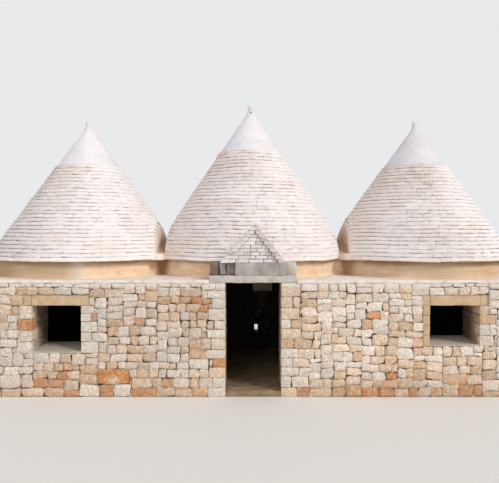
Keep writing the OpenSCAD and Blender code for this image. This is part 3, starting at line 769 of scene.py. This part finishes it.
FLOOR_TOP = snap(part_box("floor")[1][2])
reveal("door", -1, 41, inward_shade=0.85, foot=FLOOR_TOP)
reveal("door", 1, 42, inward_shade=0.6, foot=FLOOR_TOP)
for i, side in enumerate(("left", "right")):
    reveal("window_" + side, -1, 43 + 2 * i, inward_shade=0.7)
    reveal("window_" + side, 1, 44 + 2 * i, inward_shade=0.7)


# Roofs: slabs round the cones

def clad_radius(share, belly):
    """Outer radius of a cone's courses at a share s of their height, as the solids have it: a straight line
    plus the belly times 27/4 s (1 - s)^2, which is 1 at its fullest."""
    return EAVE_R + (SHOULDER_R - EAVE_R) * share + 27 / 4 * belly * share * (1 - share) ** 2


# Distance of the trimmed flanks from their cone's axis at the eaves, to the left and the right
FLANKS = {"left": (None, CONE["left"][1][0] - CONE_X["left"]),
          "centre": (-CONE["centre"][0][0], CONE["centre"][1][0]),
          "right": (BAY - CONE["right"][0][0], None)}


def open_arcs(radius, height, side):
    """Arcs of one course, as angles from the front, that end 5 mm short of the cone's trimmed flanks. A full
    round starts at an angle of its own, so that no joint runs on from course to course."""
    reach = [None if f is None else f - LEAN[side] * height - 0.005 for f in FLANKS[side]]
    left, right = (math.asin(f / radius) if f and f < radius else None for f in reach)
    if right is None and left is None:
        start = 2.4 * height / COURSE
        return [(start, start + 2 * math.pi)]
    if left is None:
        return [(math.pi - right, 2 * math.pi + right)]
    if right is None:
        return [(-left, math.pi + left)]
    return [(-left, right), (math.pi - right, math.pi + left)]


GABLE_LEFT, GABLE_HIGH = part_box("gable_slope_left")[0][0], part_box("gable_slope_right")[1]
GABLE_HALF, GABLE_MID = (GABLE_HIGH[0] - GABLE_LEFT) / 2, (GABLE_HIGH[0] + GABLE_LEFT) / 2
GABLE_TOP = GABLE_HIGH[2]
GABLE_LEAN = 0.04       # the ridge stands right of the middle
GABLE_COURSES = 11
GABLE_STEP = (GABLE_TOP - EAVE_Z) / GABLE_COURSES
GABLE_FRONT = FRONT - 0.012
VERGE = 0.15            # width of the slope slabs
FACE_BACK = 0.055       # how far the face stands back at its right

# How each cone has worn and is shaded: how much lighter it gets to its right, partly weathering and
# partly painted shade on its left side, how weathered its front is, how much paler and brighter its lowest
# course is, and whether the stone's own colour shows round its left side
WEAR_AND_SHADE = {"left": (0.24, 0.03, 1.0, 0.20, False),
        "centre": (0.08, 0.08, 1.0, 0.20, True),
        "right": (0.08, 0.26, 0.4, -0.10, True)}
NO_FLANK = 1e3          # an arc length out of reach of any slab
BEHIND_GABLE = 0.40     # how far in from the gable's slopes the slabs are hidden


def cone_slabs(side, seed):
    """The roofing slabs of one cone: a point at arc length a, height t and depth d of a course stands at
    radius r(t) + d and angle start + a / r, where r(t) leans in with the course's face. Lime wash evens the
    joints, most on the right, as relief (1 - 0.7 wash) + 0.66 wash. The slabs hidden behind the gable are
    left out."""
    draw = np.random.default_rng(seed)
    shaded, grey_share, eave_pale, eave_light, warm = WEAR_AND_SHADE[side]
    courses = COURSES[side]
    rects, rows = [], []
    for k in range(courses):
        low, high = (clad_radius(c / courses, BELLY[side]) for c in (k, k + 1))
        for start, stop in open_arcs(low, k * COURSE, side):
            length = (stop - start) * low
            cuts = np.cumsum(draw.triangular(*SLAB_WIDE, int(length / SLAB_WIDE[0])))
            cuts = np.concatenate([[0.0], cuts[cuts < length - 0.09], [length]])
            for a, b in zip(cuts[:-1], cuts[1:]):
                x, y, z = around(CONE_X[side], low, start + (a + b) / 2 / low, EAVE_Z + k * COURSE)
                half = GABLE_HALF * (1 - (z - EAVE_Z) / (GABLE_TOP - EAVE_Z))
                if side == "centre" and y < 0 and abs(x - GABLE_MID) < half - BEHIND_GABLE:
                    continue
                lap = draw.uniform(-0.001, 0.006)
                rects.append((a - lap, b + lap, 0.0, COURSE))
                head = low + (high - low) * FACE_LEAN
                rows.append((low, head, z, start, length if length < 6 * low else NO_FLANK))
    rects, rows, n = np.array(rects), np.array(rows)[:, :, None], len(rects)
    across, up, out, fall = tiles(rects, draw, SLAB, joint=0.003, wobble=0.006, corner=(0.0, 0.08),
                                  crown=0.12, slope=0.16, ragged=0.003)
    v, buried = SLAB["v"], SLAB["buried"]
    foot_r, head_r, foot_z, start, length = (rows[:, i] for i in range(5))
    # How far a point is in from the joints over and under its slab, as (1 - v^4)^0.5
    bed = unit(1 - v ** 4) ** 0.5
    radius = foot_r + (head_r - foot_r) * up / COURSE
    angle = start + across / foot_r
    x, y, z = np.moveaxis(around(CONE_X[side], radius, angle, foot_z + up + 0.005), -1, 0)
    right = np.sin(angle)
    # Wash also thickens towards the flanks, where an arc begins and ends
    from_end = np.minimum(np.where(length < NO_FLANK, across, NO_FLANK), length - across)
    flank_near = np.exp(-(from_end / 0.14) ** 2)
    wash = np.maximum(unit(0.26 + 0.55 * right + 0.45 * waves(x, y, z, seed + 5, 1.1)), 0.95 * flank_near)
    # How wide each slab's joints gape, and how far it stands out as a ledge
    mouth = unit(1.1 * draw.random((n, 1)) ** 2 + 0.1 + 0.6 * waves(x, y, 4 * z, seed + 8, 0.14))
    ledge = 0.004 * waves(x, y, 3 * z, seed + 7, 0.35) + draw.normal(0, 0.0012, (n, 1))
    ledge = ledge + 0.006 * (mouth > 0.85)
    relief = (0.94 - 0.86 * (1 - bed) * (0.45 + 0.75 * mouth) + 0.06 * out) * (1 - 0.7 * wash) + 0.66 * wash
    depth = ledge * (1 - 0.5 * wash) + SLAB_PROUD * relief + 0.004 * (1 - up / COURSE)
    depth = depth + ripples(x, y, z, seed + 1, (0.005, 0.8), (0.0016, 0.045)) + 0.002
    points = around(CONE_X[side], radius + np.where(buried, -SLAB_BURIED, np.maximum(depth, 0.0015)), angle,
                    z + 0.006 * waves(x, y, z, seed + 3, 0.7) + 0.0025 * waves(x, y, z, seed + 6, 0.16))
    # Greyness, brightness and peach: by the slab, by the lowest course, by dirt below the tip, and greyness
    # also by painted shade on the cone's left side
    patch = waves(foot_r * np.sin(start) + rects[:, :1], 0, foot_z, seed + 4, 1.2)
    eave = 0.22 * (rects[:, 2:3] + foot_z - EAVE_Z < 0.5 * COURSE)
    dirty = 0.27 * ramp(z, courses * COURSE + EAVE_Z - 0.80, courses * COURSE + EAVE_Z) * unit(0.85 - right)
    dirty = dirty * np.clip(0.7 + 0.8 * waves(x, y, 3 * z, seed + 10, 0.20), 0, 1.5)
    greyness = (draw.normal(0.27, 0.045, (n, 1)) * (1 - 0.3 * wash) + 0.10 * patch
                - shaded * np.sin(angle.mean(1, keepdims=True)) - eave_pale * eave + dirty
                + grey_share * np.exp(-((right + 0.05) / 0.42) ** 2))
    round_left = warm * ramp(right, -0.5, -1)
    light = draw.uniform(0.965, 1.01, (n, 1)) + eave_light * eave + 0.07 * round_left
    # Joints open wider to the cone's left: painted shade, as darker joint lines there
    open_bed = (1 - bed) * (0.30 + 0.9 * mouth + 1.5 * dirty + 0.6 * unit(-right)) * (1 - 0.6 * wash)
    low_left = warm * ramp(z, EAVE_Z + 0.8, EAVE_Z) * unit(-right - 0.35)
    peach = 0.30 * unit(waves(x, y, 2.5 * z, seed + 9, 0.9) - 0.30) + 0.10 * draw.random((n, 1)) ** 2
    peach = peach + 0.35 * low_left + 0.8 * eave + 0.5 * dirty + 0.30 * round_left * (1 - low_left)
    tint = tints(fall.shape, unit(greyness), light, unit(1 - open_bed - 0.10 * (1 - fall)) * ~buried,
                 np.clip(peach, 0, 0.8) * ~buried)
    tile_piece("roof_slabs_" + side, SLAB, points, tint, ROOF_SLAB)


for side, seed in zip(SIDES, (201, 211, 221)):
    cone_slabs(side, seed)


def flank_plaster(name, side, turn, seed, bare, high):
    """Plaster over one trimmed flank. At height h the cone's radius is r and the flank stands d from its
    axis. At an angle t from the flank's middle the plaster reaches the lesser of a = r + 30 mm and
    b = (d + 14 mm) / cos t, blended smoothly as -k log(exp(-a / k) + exp(-b / k)), and past the corner it
    sinks between the slabs within nine centimetres. Bare and high are the shares of lime wash left away
    from the corners, at the foot and at the top."""
    blend = 0.018
    tall, start = COURSES[side] * COURSE, FLANKS[side][turn > 0]
    search = np.linspace(0, tall, 2000)
    top = search[np.argmax(clad_radius(search / tall, BELLY[side]) < start - LEAN[side] * search)]
    h = np.linspace(0.02, top + 0.08, 34)[:, None]
    r = clad_radius(h / tall, BELLY[side])
    d = np.minimum(start - LEAN[side] * h, r)
    sunk = ramp(h, top - 0.02, top + 0.08)
    corner = np.arccos(np.clip(d / r, -1, 1))
    theta = np.linspace(-1, 1, 43)[None] * (corner + 0.10 * (1 - 0.5 * unit(h / top)) / r)
    past = (np.abs(theta) - corner) * r
    face = r + (0.030 - 0.045 * unit(past / 0.09) ** 2) * (1 - sunk) - 0.030 * sunk
    rho = -blend * np.logaddexp(-face / blend, -(d + 0.014) / np.cos(theta) / blend)
    distance, along, z = rho * np.cos(theta), rho * np.sin(theta), EAVE_Z + h
    distance = distance + ripples(distance, along, z, seed, (0.004, 0.30), (0.0015, 0.07))
    z = z + 0.006 * waves(distance, along, z, seed + 2, 0.25)
    front = np.stack([CONE_X[side] + turn * distance, along, z], -1)
    back = np.stack([CONE_X[side] + turn * (distance - 0.03), along * 0.98, z], -1)
    edge = ramp(past, -0.32, -0.02) ** 1.6
    left = bare + (high - bare) * ramp(h / top, 0.25, 0.70)
    wash = unit(left + (1 - left) * edge + 0.15 * waves(distance, along, z, seed + 3, 0.18))
    shell("flank_plaster_" + name, front, back, FLANK_PLASTER, tints(front.shape[:2], wash))


flank_plaster("left_cone", "left", 1, 231, bare=0.78, high=0.92)
flank_plaster("centre_cone_left", "centre", -1, 234, bare=0.30, high=0.5)
flank_plaster("centre_cone_right", "centre", 1, 237, bare=0.55, high=0.7)
flank_plaster("right_cone", "right", -1, 240, bare=0.0, high=0.45)

VALLEY_X = {"left": (CONE["left"][1][0] + CONE["centre"][0][0]) / 2,
            "right": (CONE["right"][0][0] + CONE["centre"][1][0]) / 2}
GUTTER_HALF = math.sqrt(EAVE_R ** 2 - (BAY / 2) ** 2)


def valley_mortar(side, seed, brown):
    """Mortar closing the foot of a valley. Its ends follow the furthest of the two eaves' circles and a round
    of its own, 225 mm in radius and narrower on the middle cone's side, as y = log(sum of exp(60 y_i)) / 60.
    From each end its top goes up a quarter round, 115 mm high in the middle, then rises to the middle of
    the valley and climbs a little at both sides. Brown is the run-off's share at the mouth."""
    middle = VALLEY_X[side]
    dx = np.linspace(-0.34, 0.34, 35)[:, None]
    x = middle + dx
    inner = np.clip(-dx * math.copysign(1, middle), 0, None)
    aside = np.abs(dx) + inner
    own = 0.985 + np.sqrt(np.clip(0.225 ** 2 - (dx ** 2 + 2.2 * inner ** 2), 0, None))
    reach = [np.sqrt(np.clip(EAVE_R ** 2 - away ** 2, 0, None)) for away in (x, CONE_X[side] - x)] + [own]
    end = np.log(sum(np.exp(60 * y) for y in reach)) / 60 + 0.016 - 0.07 * ramp(aside, 0.07, 0.25)
    inward = np.array([0, 0.001, 0.006, 0.015, 0.028, 0.045, 0.065, 0.09, 0.14, 0.22, 0.34, 0.50, 0.68,
                       0.86, 1.05])
    y = np.concatenate([inward - end, np.zeros_like(end), (end - inward)[:, ::-1]], 1)
    deep = end - np.abs(y)
    lip = 0.115 * (1 - 0.75 * ramp(aside, 0.08, 0.32))
    rounded = lip * np.sqrt(unit(1 - (1 - unit(deep / 0.08)) ** 2))
    rise = 0.25 * ramp(np.abs(y), GUTTER_HALF, 0) + 0.03 * unit(np.abs(dx) / 0.11) ** 4 * unit(deep / 0.2)
    z = EAVE_Z - 0.004 + rounded + rise
    shake = ripples(dx, y, z, seed, (0.004, 0.25), (0.0015, 0.06))
    front = np.stack([x + 0 * y, y + 0.5 * shake * np.sign(y), z + shake * unit(deep / 0.03)], -1)
    back = front.copy()
    back[..., 2] = EAVE_Z - 0.008
    stain = np.clip(brown + (deep - 0.16) / 0.25 * (deep > 0.16), 0, 0.9)
    shell("valley_mortar_" + side, front, back, VALLEY_MORTAR, tints(front.shape[:2], stain),
          ["valley_" + side])


valley_mortar("left", 251, brown=0.0)
valley_mortar("right", 254, brown=0.38)


# Drums and wall tops

# Heights of the rows of points over a drum, closest at its foot
DRUM_ROWS = np.array([[-0.004, 0.004, 0.012, 0.022, 0.035, 0.05, 0.07, 0.10, 0.14, 0.18, 0.22, 0.25, 0.28,
                       0.30, DRUM_TALL + 0.004]])


def drum_skin(name, axis_x, start, stop, seed):
    """Render over an arc of a drum: radius plus 6 mm, a little noise and a hollow fillet of
    30 mm (1 - h / 0.07)^2 at its foot. Damp lies under the eaves, darkened further as painted shade, deepest
    on the right drum and down that drum's inner stretch by the notch. The right drum is older, and so is the
    far left, past a patch of newer lime."""
    h, right = DRUM_ROWS, axis_x > 0
    angle = np.linspace(start, stop, int((stop - start) * DRUM_R / 0.045))[:, None]
    x, y, _ = np.moveaxis(around(axis_x, DRUM_R, angle, 0), -1, 0)
    out = 0.006 + 0.0024 * waves(x, y, 0, seed, 0.9) + 0.0025 * waves(x, y, h, seed + 1, 0.22)
    out = np.maximum(out, 0.002) + 0.030 * ramp(h, 0.07, 0) ** 2
    front, back = (around(axis_x, DRUM_R + stand, angle, TERRACE_TOP + h) for stand in (out, -0.02))
    blot = unit(0.5 + 0.7 * waves(x, y, 0, seed + 2, 0.7))
    beyond = ramp(x, 2.4, 3.3)
    old = ramp(x, -3.1, -3.4) + 0.66 * right * (0.35 + 0.65 * beyond)
    # Damp under the eaves, with painted shade, deepest on the right drum and by its notch
    damp_and_shade = 0.44 if axis_x == 0 else 0.62 + 0.16 * right
    damp_and_shade = (0.24 * right * (1 - beyond) + (damp_and_shade + 0.30 * old) * ramp(h, 0.20, 0.30)
            + 0.15 * blot * h / DRUM_TALL + 0.10 * ramp(x, -3.9, -4.7))
    lime = np.exp(-((x + 3.18) / 0.13) ** 2) * (y < 0) + 0.25 * unit(waves(x, y, 0, seed + 3, 1.1) - 0.35)
    tint = tints(front.shape[:2], damp_and_shade, np.clip(0.7 * lime, 0, 0.85),
                 np.clip(0.9 * old * (1 - 0.35 * blot), 0, 0.9))
    shell("drum_render_" + name, front, back, DRUM_TUFA, tint)


def notch_fillet(side, face, ends, pull, damp_and_shade, seed):
    """Render filling the notch between two drums: a cubic Bezier in plan, from one end on the middle drum to
    the other on the outer drum, that leaves both circles along their own tangents by the two pulls. Damp and
    painted shade darken it as a bell curve round the notch, given as its place along the curve and its
    width to both sides, and under the eaves. The inner end stands 8 mm out, the outer end is flush, and
    between them 6 mm are added as sin^0.5."""
    starts, ways = [], []
    for axis_x, x, proud, way in ((0.0, ends[0], 0.008, 1), (BAY, ends[1], 0.0, -1)):
        spot = np.array([x - axis_x, -math.sqrt(DRUM_R ** 2 - (x - axis_x) ** 2)])
        ways.append(np.array([-spot[1], spot[0]]) / DRUM_R * way)
        starts.append(spot * (DRUM_R + proud) / DRUM_R + (axis_x, 0))
    knots = [starts[0], starts[0] + pull[0] * ways[0], starts[1] + pull[1] * ways[1], starts[1]]
    s, h = np.linspace(0, 1, 33)[:, None], DRUM_ROWS
    weights = [(1 - s) ** 3, 3 * s * (1 - s) ** 2, 3 * s * s * (1 - s), s ** 3]
    x, y = (sum(w * knot[i] for w, knot in zip(weights, knots)) for i in range(2))
    rough = 0.003 * waves(x, y, h, seed, 0.22) - 0.028 * ramp(h, 0.07, 0) ** 2
    rough = rough - 0.006 * np.sin(math.pi * s) ** 0.5
    turn_x, turn_y = (1 if side == "right" else -1), (-1 if face == "rear" else 1)
    front = np.stack(np.broadcast_arrays(turn_x * x, turn_y * (y + rough), TERRACE_TOP + h), -1)
    # Painted shade in the notch and under the eaves, with some damp
    bell = np.exp(-((s - damp_and_shade[0]) / np.where(s < damp_and_shade[0], damp_and_shade[1], damp_and_shade[2])) ** 2)
    damp_shade_share = 0.06 + 1.18 * bell * (0.62 + 0.38 * ramp(h, 0.03, 0.17)) + 0.48 * ramp(h, 0.20, 0.30)
    shell(f"notch_fillet_{side}_{face}", front, front + (0, 0.05 * turn_y, 0), DRUM_TUFA,
          tints(front.shape[:2], damp_shade_share, 0, 0.5 * (side == "right") * s))


def drum_angle(distance):
    """Angle from the front at which a drum reaches a distance along the house from its axis."""
    return math.asin(min(distance / DRUM_R, 1.0))


# How far the middle drum reaches to its left and right, where the outer drums meet it
LEFT_CUT, RIGHT_CUT = -DRUM[0][0], DRUM[1][0]
drum_skin("left", -BAY, math.pi - drum_angle(BAY - LEFT_CUT), 2 * math.pi + drum_angle(BAY - LEFT_CUT), 261)
drum_skin("right", BAY, -drum_angle(BAY - RIGHT_CUT), math.pi + drum_angle(BAY - RIGHT_CUT), 271)
drum_skin("centre_front", 0.0, -drum_angle(LEFT_CUT), drum_angle(RIGHT_CUT), 281)
drum_skin("centre_rear", 0.0, math.pi - drum_angle(RIGHT_CUT), math.pi + drum_angle(LEFT_CUT), 291)
for face in ("front", "rear"):
    notch_fillet("left", face, ends=(1.60, 1.98), pull=(0.18, 0.27), damp_and_shade=(0.47, 0.34, 0.22), seed=295)
    notch_fillet("right", face, ends=(1.50, 2.35), pull=(0.54, 0.62), damp_and_shade=(0.52, 0.11, 0.17), seed=297)


def coping(seed=501, inset=0.16, step=0.045):
    """Mortar over the wall tops, swept once round the house from one end of the lintel to the other. The
    section rounds over the edge and laps the top stones with a wandering lip. At a corner the section
    fans round as (cos a, sin a) / (cos^8 a + sin^8 a)^(1/8), nearly square."""
    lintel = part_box("door_lintel")
    hx, hy = HALF_LENGTH - inset, HALF_DEPTH - inset
    stops = [(lintel[1][0] + 0.003, -hy), (hx, -hy), (hx, hy), (-hx, hy), (-hx, -hy),
             (lintel[0][0] - 0.003, -hy)]
    base, way = [], []
    fan = np.linspace(0, math.pi / 2, 9)
    fan = np.stack([np.cos(fan), np.sin(fan)], 1) / (np.cos(fan) ** 8 + np.sin(fan) ** 8)[:, None] ** 0.125
    for a, b in zip(np.array(stops[:-1]), np.array(stops[1:])):
        length = np.linalg.norm(b - a)
        run = (b - a) / length
        normal, count = np.array([run[1], -run[0]]), int(length / step) + 1
        base += [a + (b - a) * np.linspace(0, 1, count)[:, None], np.repeat(b[None], 7, 0)]
        way += [np.repeat(normal[None], count, 0), fan[1:-1, :1] * normal + fan[1:-1, 1:] * run]
    # The last stop is the lintel's end, which has no corner to fan round
    base, way = np.concatenate(base[:-1])[:, None], np.concatenate(way[:-1])[:, None]
    section = np.array([(-0.15, -0.020), (-0.15, -0.003), (-0.12, 0.003), (-0.06, 0.007), (-0.015, 0.008),
                        (0.010, 0.005), (0.024, -0.003), (0.032, -0.013), (0.034, -0.024),
                        (0.032, -0.034), (0.028, -0.043), (0.021, -0.050), (0.012, -0.052),
                        (-0.010, -0.046), (-0.020, -0.034)])
    out, up = section[None, :, 0], section[None, :, 1]
    x, y = np.moveaxis(base + way * 0.2, -1, 0)
    foot = unit(-up / 0.05) ** 2 * (out > -0.015)
    lip = 0.004 + ripples(x, y, 0, seed, (0.014, 0.40), (0.008, 0.12))
    swell = 0.004 * waves(x, y, 0, seed + 2, 0.7) + 0.0015 * waves(x + out, y, up, seed + 3, 0.06)
    swell = np.where(out > -0.1, swell, 0)
    z = TERRACE_TOP + up - foot * lip + 0.6 * swell
    place = base + way * (inset + out + swell)[..., None]
    tube("coping_mortar", np.concatenate([place, z[..., None]], -1), BED_MORTAR)


coping()


def plaster_tip(side, seed, lean, grey):
    """Trowelled plaster over a tip: a profile turned about the axis, radius r(h) + skin, whose lower edge
    wanders down over the last course. Above the straight cone the radius sweeps to the stub as a parabola.
    Grey is the share of the plaster's grey colour; on the right tip it is painted shade."""
    low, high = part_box("tip_" + side)
    tall, stub, flare, straight_stub, skin = high[2] - low[2], 0.062, 0.15, 0.09, 0.006
    straight = tall - straight_stub - flare
    slope = (SHOULDER_R - stub) / (straight + flare / 2)
    rounding = [tall - 0.012, tall - 0.003, tall, tall]
    h = np.concatenate([[-0.03] * 3, np.linspace(0, tall - 0.025, 46), rounding])
    sweep = stub + slope * flare / 2 * ramp(h, tall - straight_stub, tall - straight_stub - flare) ** 2
    r = np.where(h < straight, SHOULDER_R - slope * h, sweep) + skin
    r[:3] = [0.02, SHOULDER_R - 0.05, SHOULDER_R + skin + 0.004]
    r[-4:] = stub + skin - np.array([0.004, 0.014, 0.03, stub + skin - 0.0005])
    angle, r, h = np.linspace(0, 2 * math.pi, 97)[None, :-1], r[:, None], h[:, None]
    x, y = r * np.sin(angle), -r * np.cos(angle)
    edge = ramp(h, 0.09, -0.03) * (0.010 + 0.016 * waves(x, y, 0, seed, 0.30))
    rough = ripples(x, y, h, seed + 1, (0.005, 0.22), (0.0015, 0.06)) * np.clip(r / 0.2, 0.3, 1)
    points = around((low[0] + high[0]) / 2, r + np.where(r > 0.03, rough, 0), angle, low[2] + h - edge)
    points[..., 0] += lean * unit(h / tall) ** 3
    grey_share = unit(grey * (1 + 0.6 * waves(x, y, h, seed + 3, 0.5)))
    tube("plaster_tip_" + side, points, TIP_PLASTER, tints(points.shape[:2], grey_share),
         ["tip_" + side])


plaster_tip("left", 301, lean=0.008, grey=0.0)
plaster_tip("centre", 311, lean=0.010, grey=0.05)
# The right tip's grey is painted shade
plaster_tip("right", 321, lean=0.010, grey=0.28)


def vent_hole(radius=0.014, right=0.012, below_top=0.15, stub=0.083):
    """Small round vent under the middle stub: rings at shares of 14 mm that rise to a lip and dish in. The
    shallow dish is painted near black as the shade of the hole.
    """
    share = np.array([1.15, 1.0, 0.85, 0.6, 0.3, 0.02])[:, None]
    out = np.array([-0.012, 0.004, 0.005, 0.0, -0.002, -0.003])[:, None]
    turn = np.linspace(0, 2 * math.pi, 17)[None, :-1]
    x = right + radius * share * np.cos(turn)
    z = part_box("tip_centre")[1][2] - below_top + radius * share * np.sin(turn)
    tube("tip_vent_hole", np.stack([x, -(stub + out) + 0 * x, z], -1), HOLE_SHADE)


vent_hole()


# Gable over the door

def gable_line(k):
    """Middle and half width of the gable at the foot of course k."""
    return GABLE_MID + GABLE_LEAN * k / GABLE_COURSES, GABLE_HALF * (1 - k / GABLE_COURSES)


def gable_slabs(seed=401):
    """Slabs along both slopes of the gable, course by course from the face back into the cone: each is a
    rounded box whose outer side is slid to follow the slope."""
    draw = np.random.default_rng(seed)
    blocks = []
    for k in range(GABLE_COURSES):
        (mid, half), (mid_up, half_up) = gable_line(k), gable_line(k + 1)
        z0 = EAVE_Z + k * GABLE_STEP
        inner = max(half - VERGE, 0.0)
        cone_r = clad_radius(k / COURSES["centre"] * GABLE_STEP / COURSE, BELLY["centre"])
        back = -math.sqrt(max(cone_r ** 2 - half ** 2, 0.5)) + 0.12
        for side in (-1, 1):
            y = GABLE_FRONT - 0.004
            while y < back - 0.08:
                stop = min(y + draw.uniform(0.19, 0.34), back)
                low = np.array([0.0, y + 0.003, z0 + 0.002])
                high = np.array([max(half - inner, 0.03), stop - 0.003, z0 + GABLE_STEP - 0.001])
                q, quads = worn_block(low, high, 0.009, (3, 4, 1))
                share, aside = (q[:, 2] - z0) / GABLE_STEP, q[:, 0] / high[0]
                outer = half + (half_up - half) * share + 0.010 * draw.uniform(0.2, 1.0) * aside
                x = mid + (mid_up - mid) * share + side * (inner + (outer - inner) * aside)
                q = np.stack([x, q[:, 1] + draw.uniform(-0.004, 0.002), q[:, 2]], 1)
                q = q + 0.0035 * shaken(q + k, seed, 0.1)
                # The right slope's slabs are greyer than the left's: painted shade
                grey = unit(draw.normal(0.68 if side > 0 else 0.48, 0.08))
                tint = tints([len(q)], grey, draw.uniform(0.93, 1.0), 0.75,
                             0.3 if k == GABLE_COURSES - 1 else 0.0)
                blocks.append((q, quads if side > 0 else quads[:, ::-1], tint))
                y = stop
    block_piece("gable_slope_slabs", blocks, ROOF_SLAB)


def gable_face(seed=411):
    """Thin courses of the recessed face, laid as tiles. It stands nearly level with the slabs at its left and
    is set back to its full depth at its right."""
    draw = np.random.default_rng(seed)
    rects = []
    for k in range(GABLE_COURSES):
        mid, half = gable_line(k)
        face = half - VERGE
        if face < 0.04:
            break
        cuts = np.cumsum(draw.triangular(0.09, 0.16, 0.27, 12))
        cuts = np.concatenate([[0.0], cuts[cuts < 2 * face - 0.06], [2 * face]]) + mid - face
        rects += [(a, b, k * GABLE_STEP, (k + 1) * GABLE_STEP) for a, b in zip(cuts[:-1], cuts[1:])]
    rects, n = np.array(rects), len(rects)
    across, up, out, fall = tiles(rects, draw, SLAB, joint=0.005, wobble=0.004, corner=(0.02, 0.12),
                                  crown=0.25, slope=0.22, ragged=0.003)
    lift = draw.uniform(-0.002, 0.005, (n, 1))
    share = np.clip((across - GABLE_MID) / (GABLE_HALF - VERGE), -1, 1)
    depth = lift + 0.010 * (0.3 + 0.7 * out) + 0.5 * (FACE_BACK - 0.004) * (1 - share)
    y = GABLE_FRONT + FACE_BACK - np.where(SLAB["buried"], -BURIED, depth)
    points = np.stack([across, y, EAVE_Z + up], -1)
    grey, light = unit(draw.normal(0.46, 0.12, (n, 1))), draw.uniform(0.91, 1.01, (n, 1))
    tint = tints(fall.shape, grey, light, fall, 0.0)
    tile_piece("gable_face_stones", SLAB, points, tint, ROOF_SLAB)


gable_slabs()
gable_face()


# Dressed stones that stand for their solids

def dressed(name, node, material, seed, cuts=(), axis=0, radius=0.010, rough=0.003, tones=(),
            joint=0.0015):
    """Worn blocks in place of one solid: its box cut at places along one axis, with joints between."""
    low, high = (np.array(corner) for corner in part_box(node))
    edges = [low[axis], *cuts, high[axis]]
    boxes = []
    for a, b in zip(edges[:-1], edges[1:]):
        one, two = low.copy(), high.copy()
        one[axis] = a + joint * (a > low[axis])
        two[axis] = b - joint * (b < high[axis])
        boxes.append((one, two))
    squared_stones(name, boxes, seed, material, [node], radius, rough, tones)


# Joints read from the photo: across the block on the lintel and its left infill, and up the window's side
BLOCK_JOINTS, INFILL_JOINTS, SIDE_JOINTS = [0.50], [-0.565, -0.43], [1.085, 1.265, 1.44]
dressed("lintel_slab", "door_lintel", LINTEL_STONE, 51, radius=0.014, rough=0.005)
dressed("lintel_cement_block", "lintel_block", GREY_STONE, 52, cuts=BLOCK_JOINTS)
dressed("infill_stones_left", "lintel_shoulder_left", BROWN_STONE, 53, cuts=INFILL_JOINTS,
        radius=0.030, rough=0.012, tones=(0.75, 0.0, 0.2))
dressed("infill_stones_right", "lintel_shoulder_right", LINTEL_STONE, 50, radius=0.012,
        rough=0.005)
dressed("threshold_stone", "door_threshold", PAVING, 54, radius=0.018, rough=0.006)
for i, side in enumerate(("left", "right")):
    dressed("window_beam_" + side, "window_lintel_" + side, DRESSED_TUFA, 55 + i,
            cuts=OPENINGS["window_" + side][0])
dressed("window_side_blocks", "window_jamb_right", DRESSED_TUFA, 58, cuts=SIDE_JOINTS, axis=2)


# Studio

def studio():
    """A pale floor, a soft key from the front right, a fill from the left and the photo's camera."""
    size = 60.0
    corners = [[x * size, y * size, -0.001] for x, y in ((-1, -1), (1, -1), (1, 1), (-1, 1))]
    floor = mesh_object("studio_floor", corners, [[0, 1, 2, 3]])
    pale, tree, _ = open_material("pale_floor_paper")
    shader = add(tree, "BsdfPrincipled", {"Base Color": linear("#e4e2de"), "Roughness": 0.9})
    add(tree, "OutputMaterial", [shader], take=())
    floor.data.materials.append(pale)

    world = bpy.data.worlds.new("studio")
    bpy.context.scene.world = world
    world.use_nodes = True
    tree = world.node_tree
    tree.nodes.clear()
    rays = ("Is Camera Ray", "Is Glossy Ray", "Is Transmission Ray")
    camera, glossy, through = add(tree, "LightPath", take=rays)
    seen = add(tree, "Math", [camera, glossy], operation="MAXIMUM")
    seen = add(tree, "Math", [seen, through], operation="MAXIMUM")
    light = add(tree, "Background", {"Color": linear("#f3f4f7"), "Strength": 0.58})
    backdrop = add(tree, "Background", {"Color": linear("#e9eaec"), "Strength": 1.0})
    add(tree, "OutputWorld", [add(tree, "MixShader", [seen, light, backdrop])], take=())

    for name, strength, spread, way, colour in (
            ("key", 1.75, 16.0, (-0.60, 0.48, -0.62), "#fffaf3"),
            ("fill", 0.5, 50.0, (0.5, 0.8, -0.4), "#f4f6ff")):
        lamp = bpy.data.lights.new(name, "SUN")
        lamp.energy = strength
        lamp.angle = math.radians(spread)
        lamp.color = linear(colour)[:3]
        holder = bpy.data.objects.new(name, lamp)
        bpy.context.collection.objects.link(holder)
        forward = np.array(way) / np.linalg.norm(way)
        across = np.cross(forward, (0, 0, 1))
        across /= np.linalg.norm(across)
        turn = Matrix((across, np.cross(across, forward), -forward)).transposed().to_4x4()
        holder.matrix_world = Matrix.Translation((0, -8, 8)) @ turn

    # The photo's view: 499 px wide, a focal length of 570 px, the horizon 13.5 px over the middle
    focal, width, horizon = 570.0, 499.0, 13.5
    shot = bpy.data.cameras.new("camera")
    shot.sensor_width = 36.0
    shot.lens = 36.0 * focal / width
    view = bpy.data.objects.new("camera", shot)
    view.location = (-0.02, FRONT - 10.0, 2.98)
    view.rotation_euler = (math.pi / 2 - math.atan(horizon / focal), 0, 0)
    bpy.context.collection.objects.link(view)
    bpy.context.scene.camera = view
    bpy.context.scene.view_settings.view_transform = "Standard"


studio()
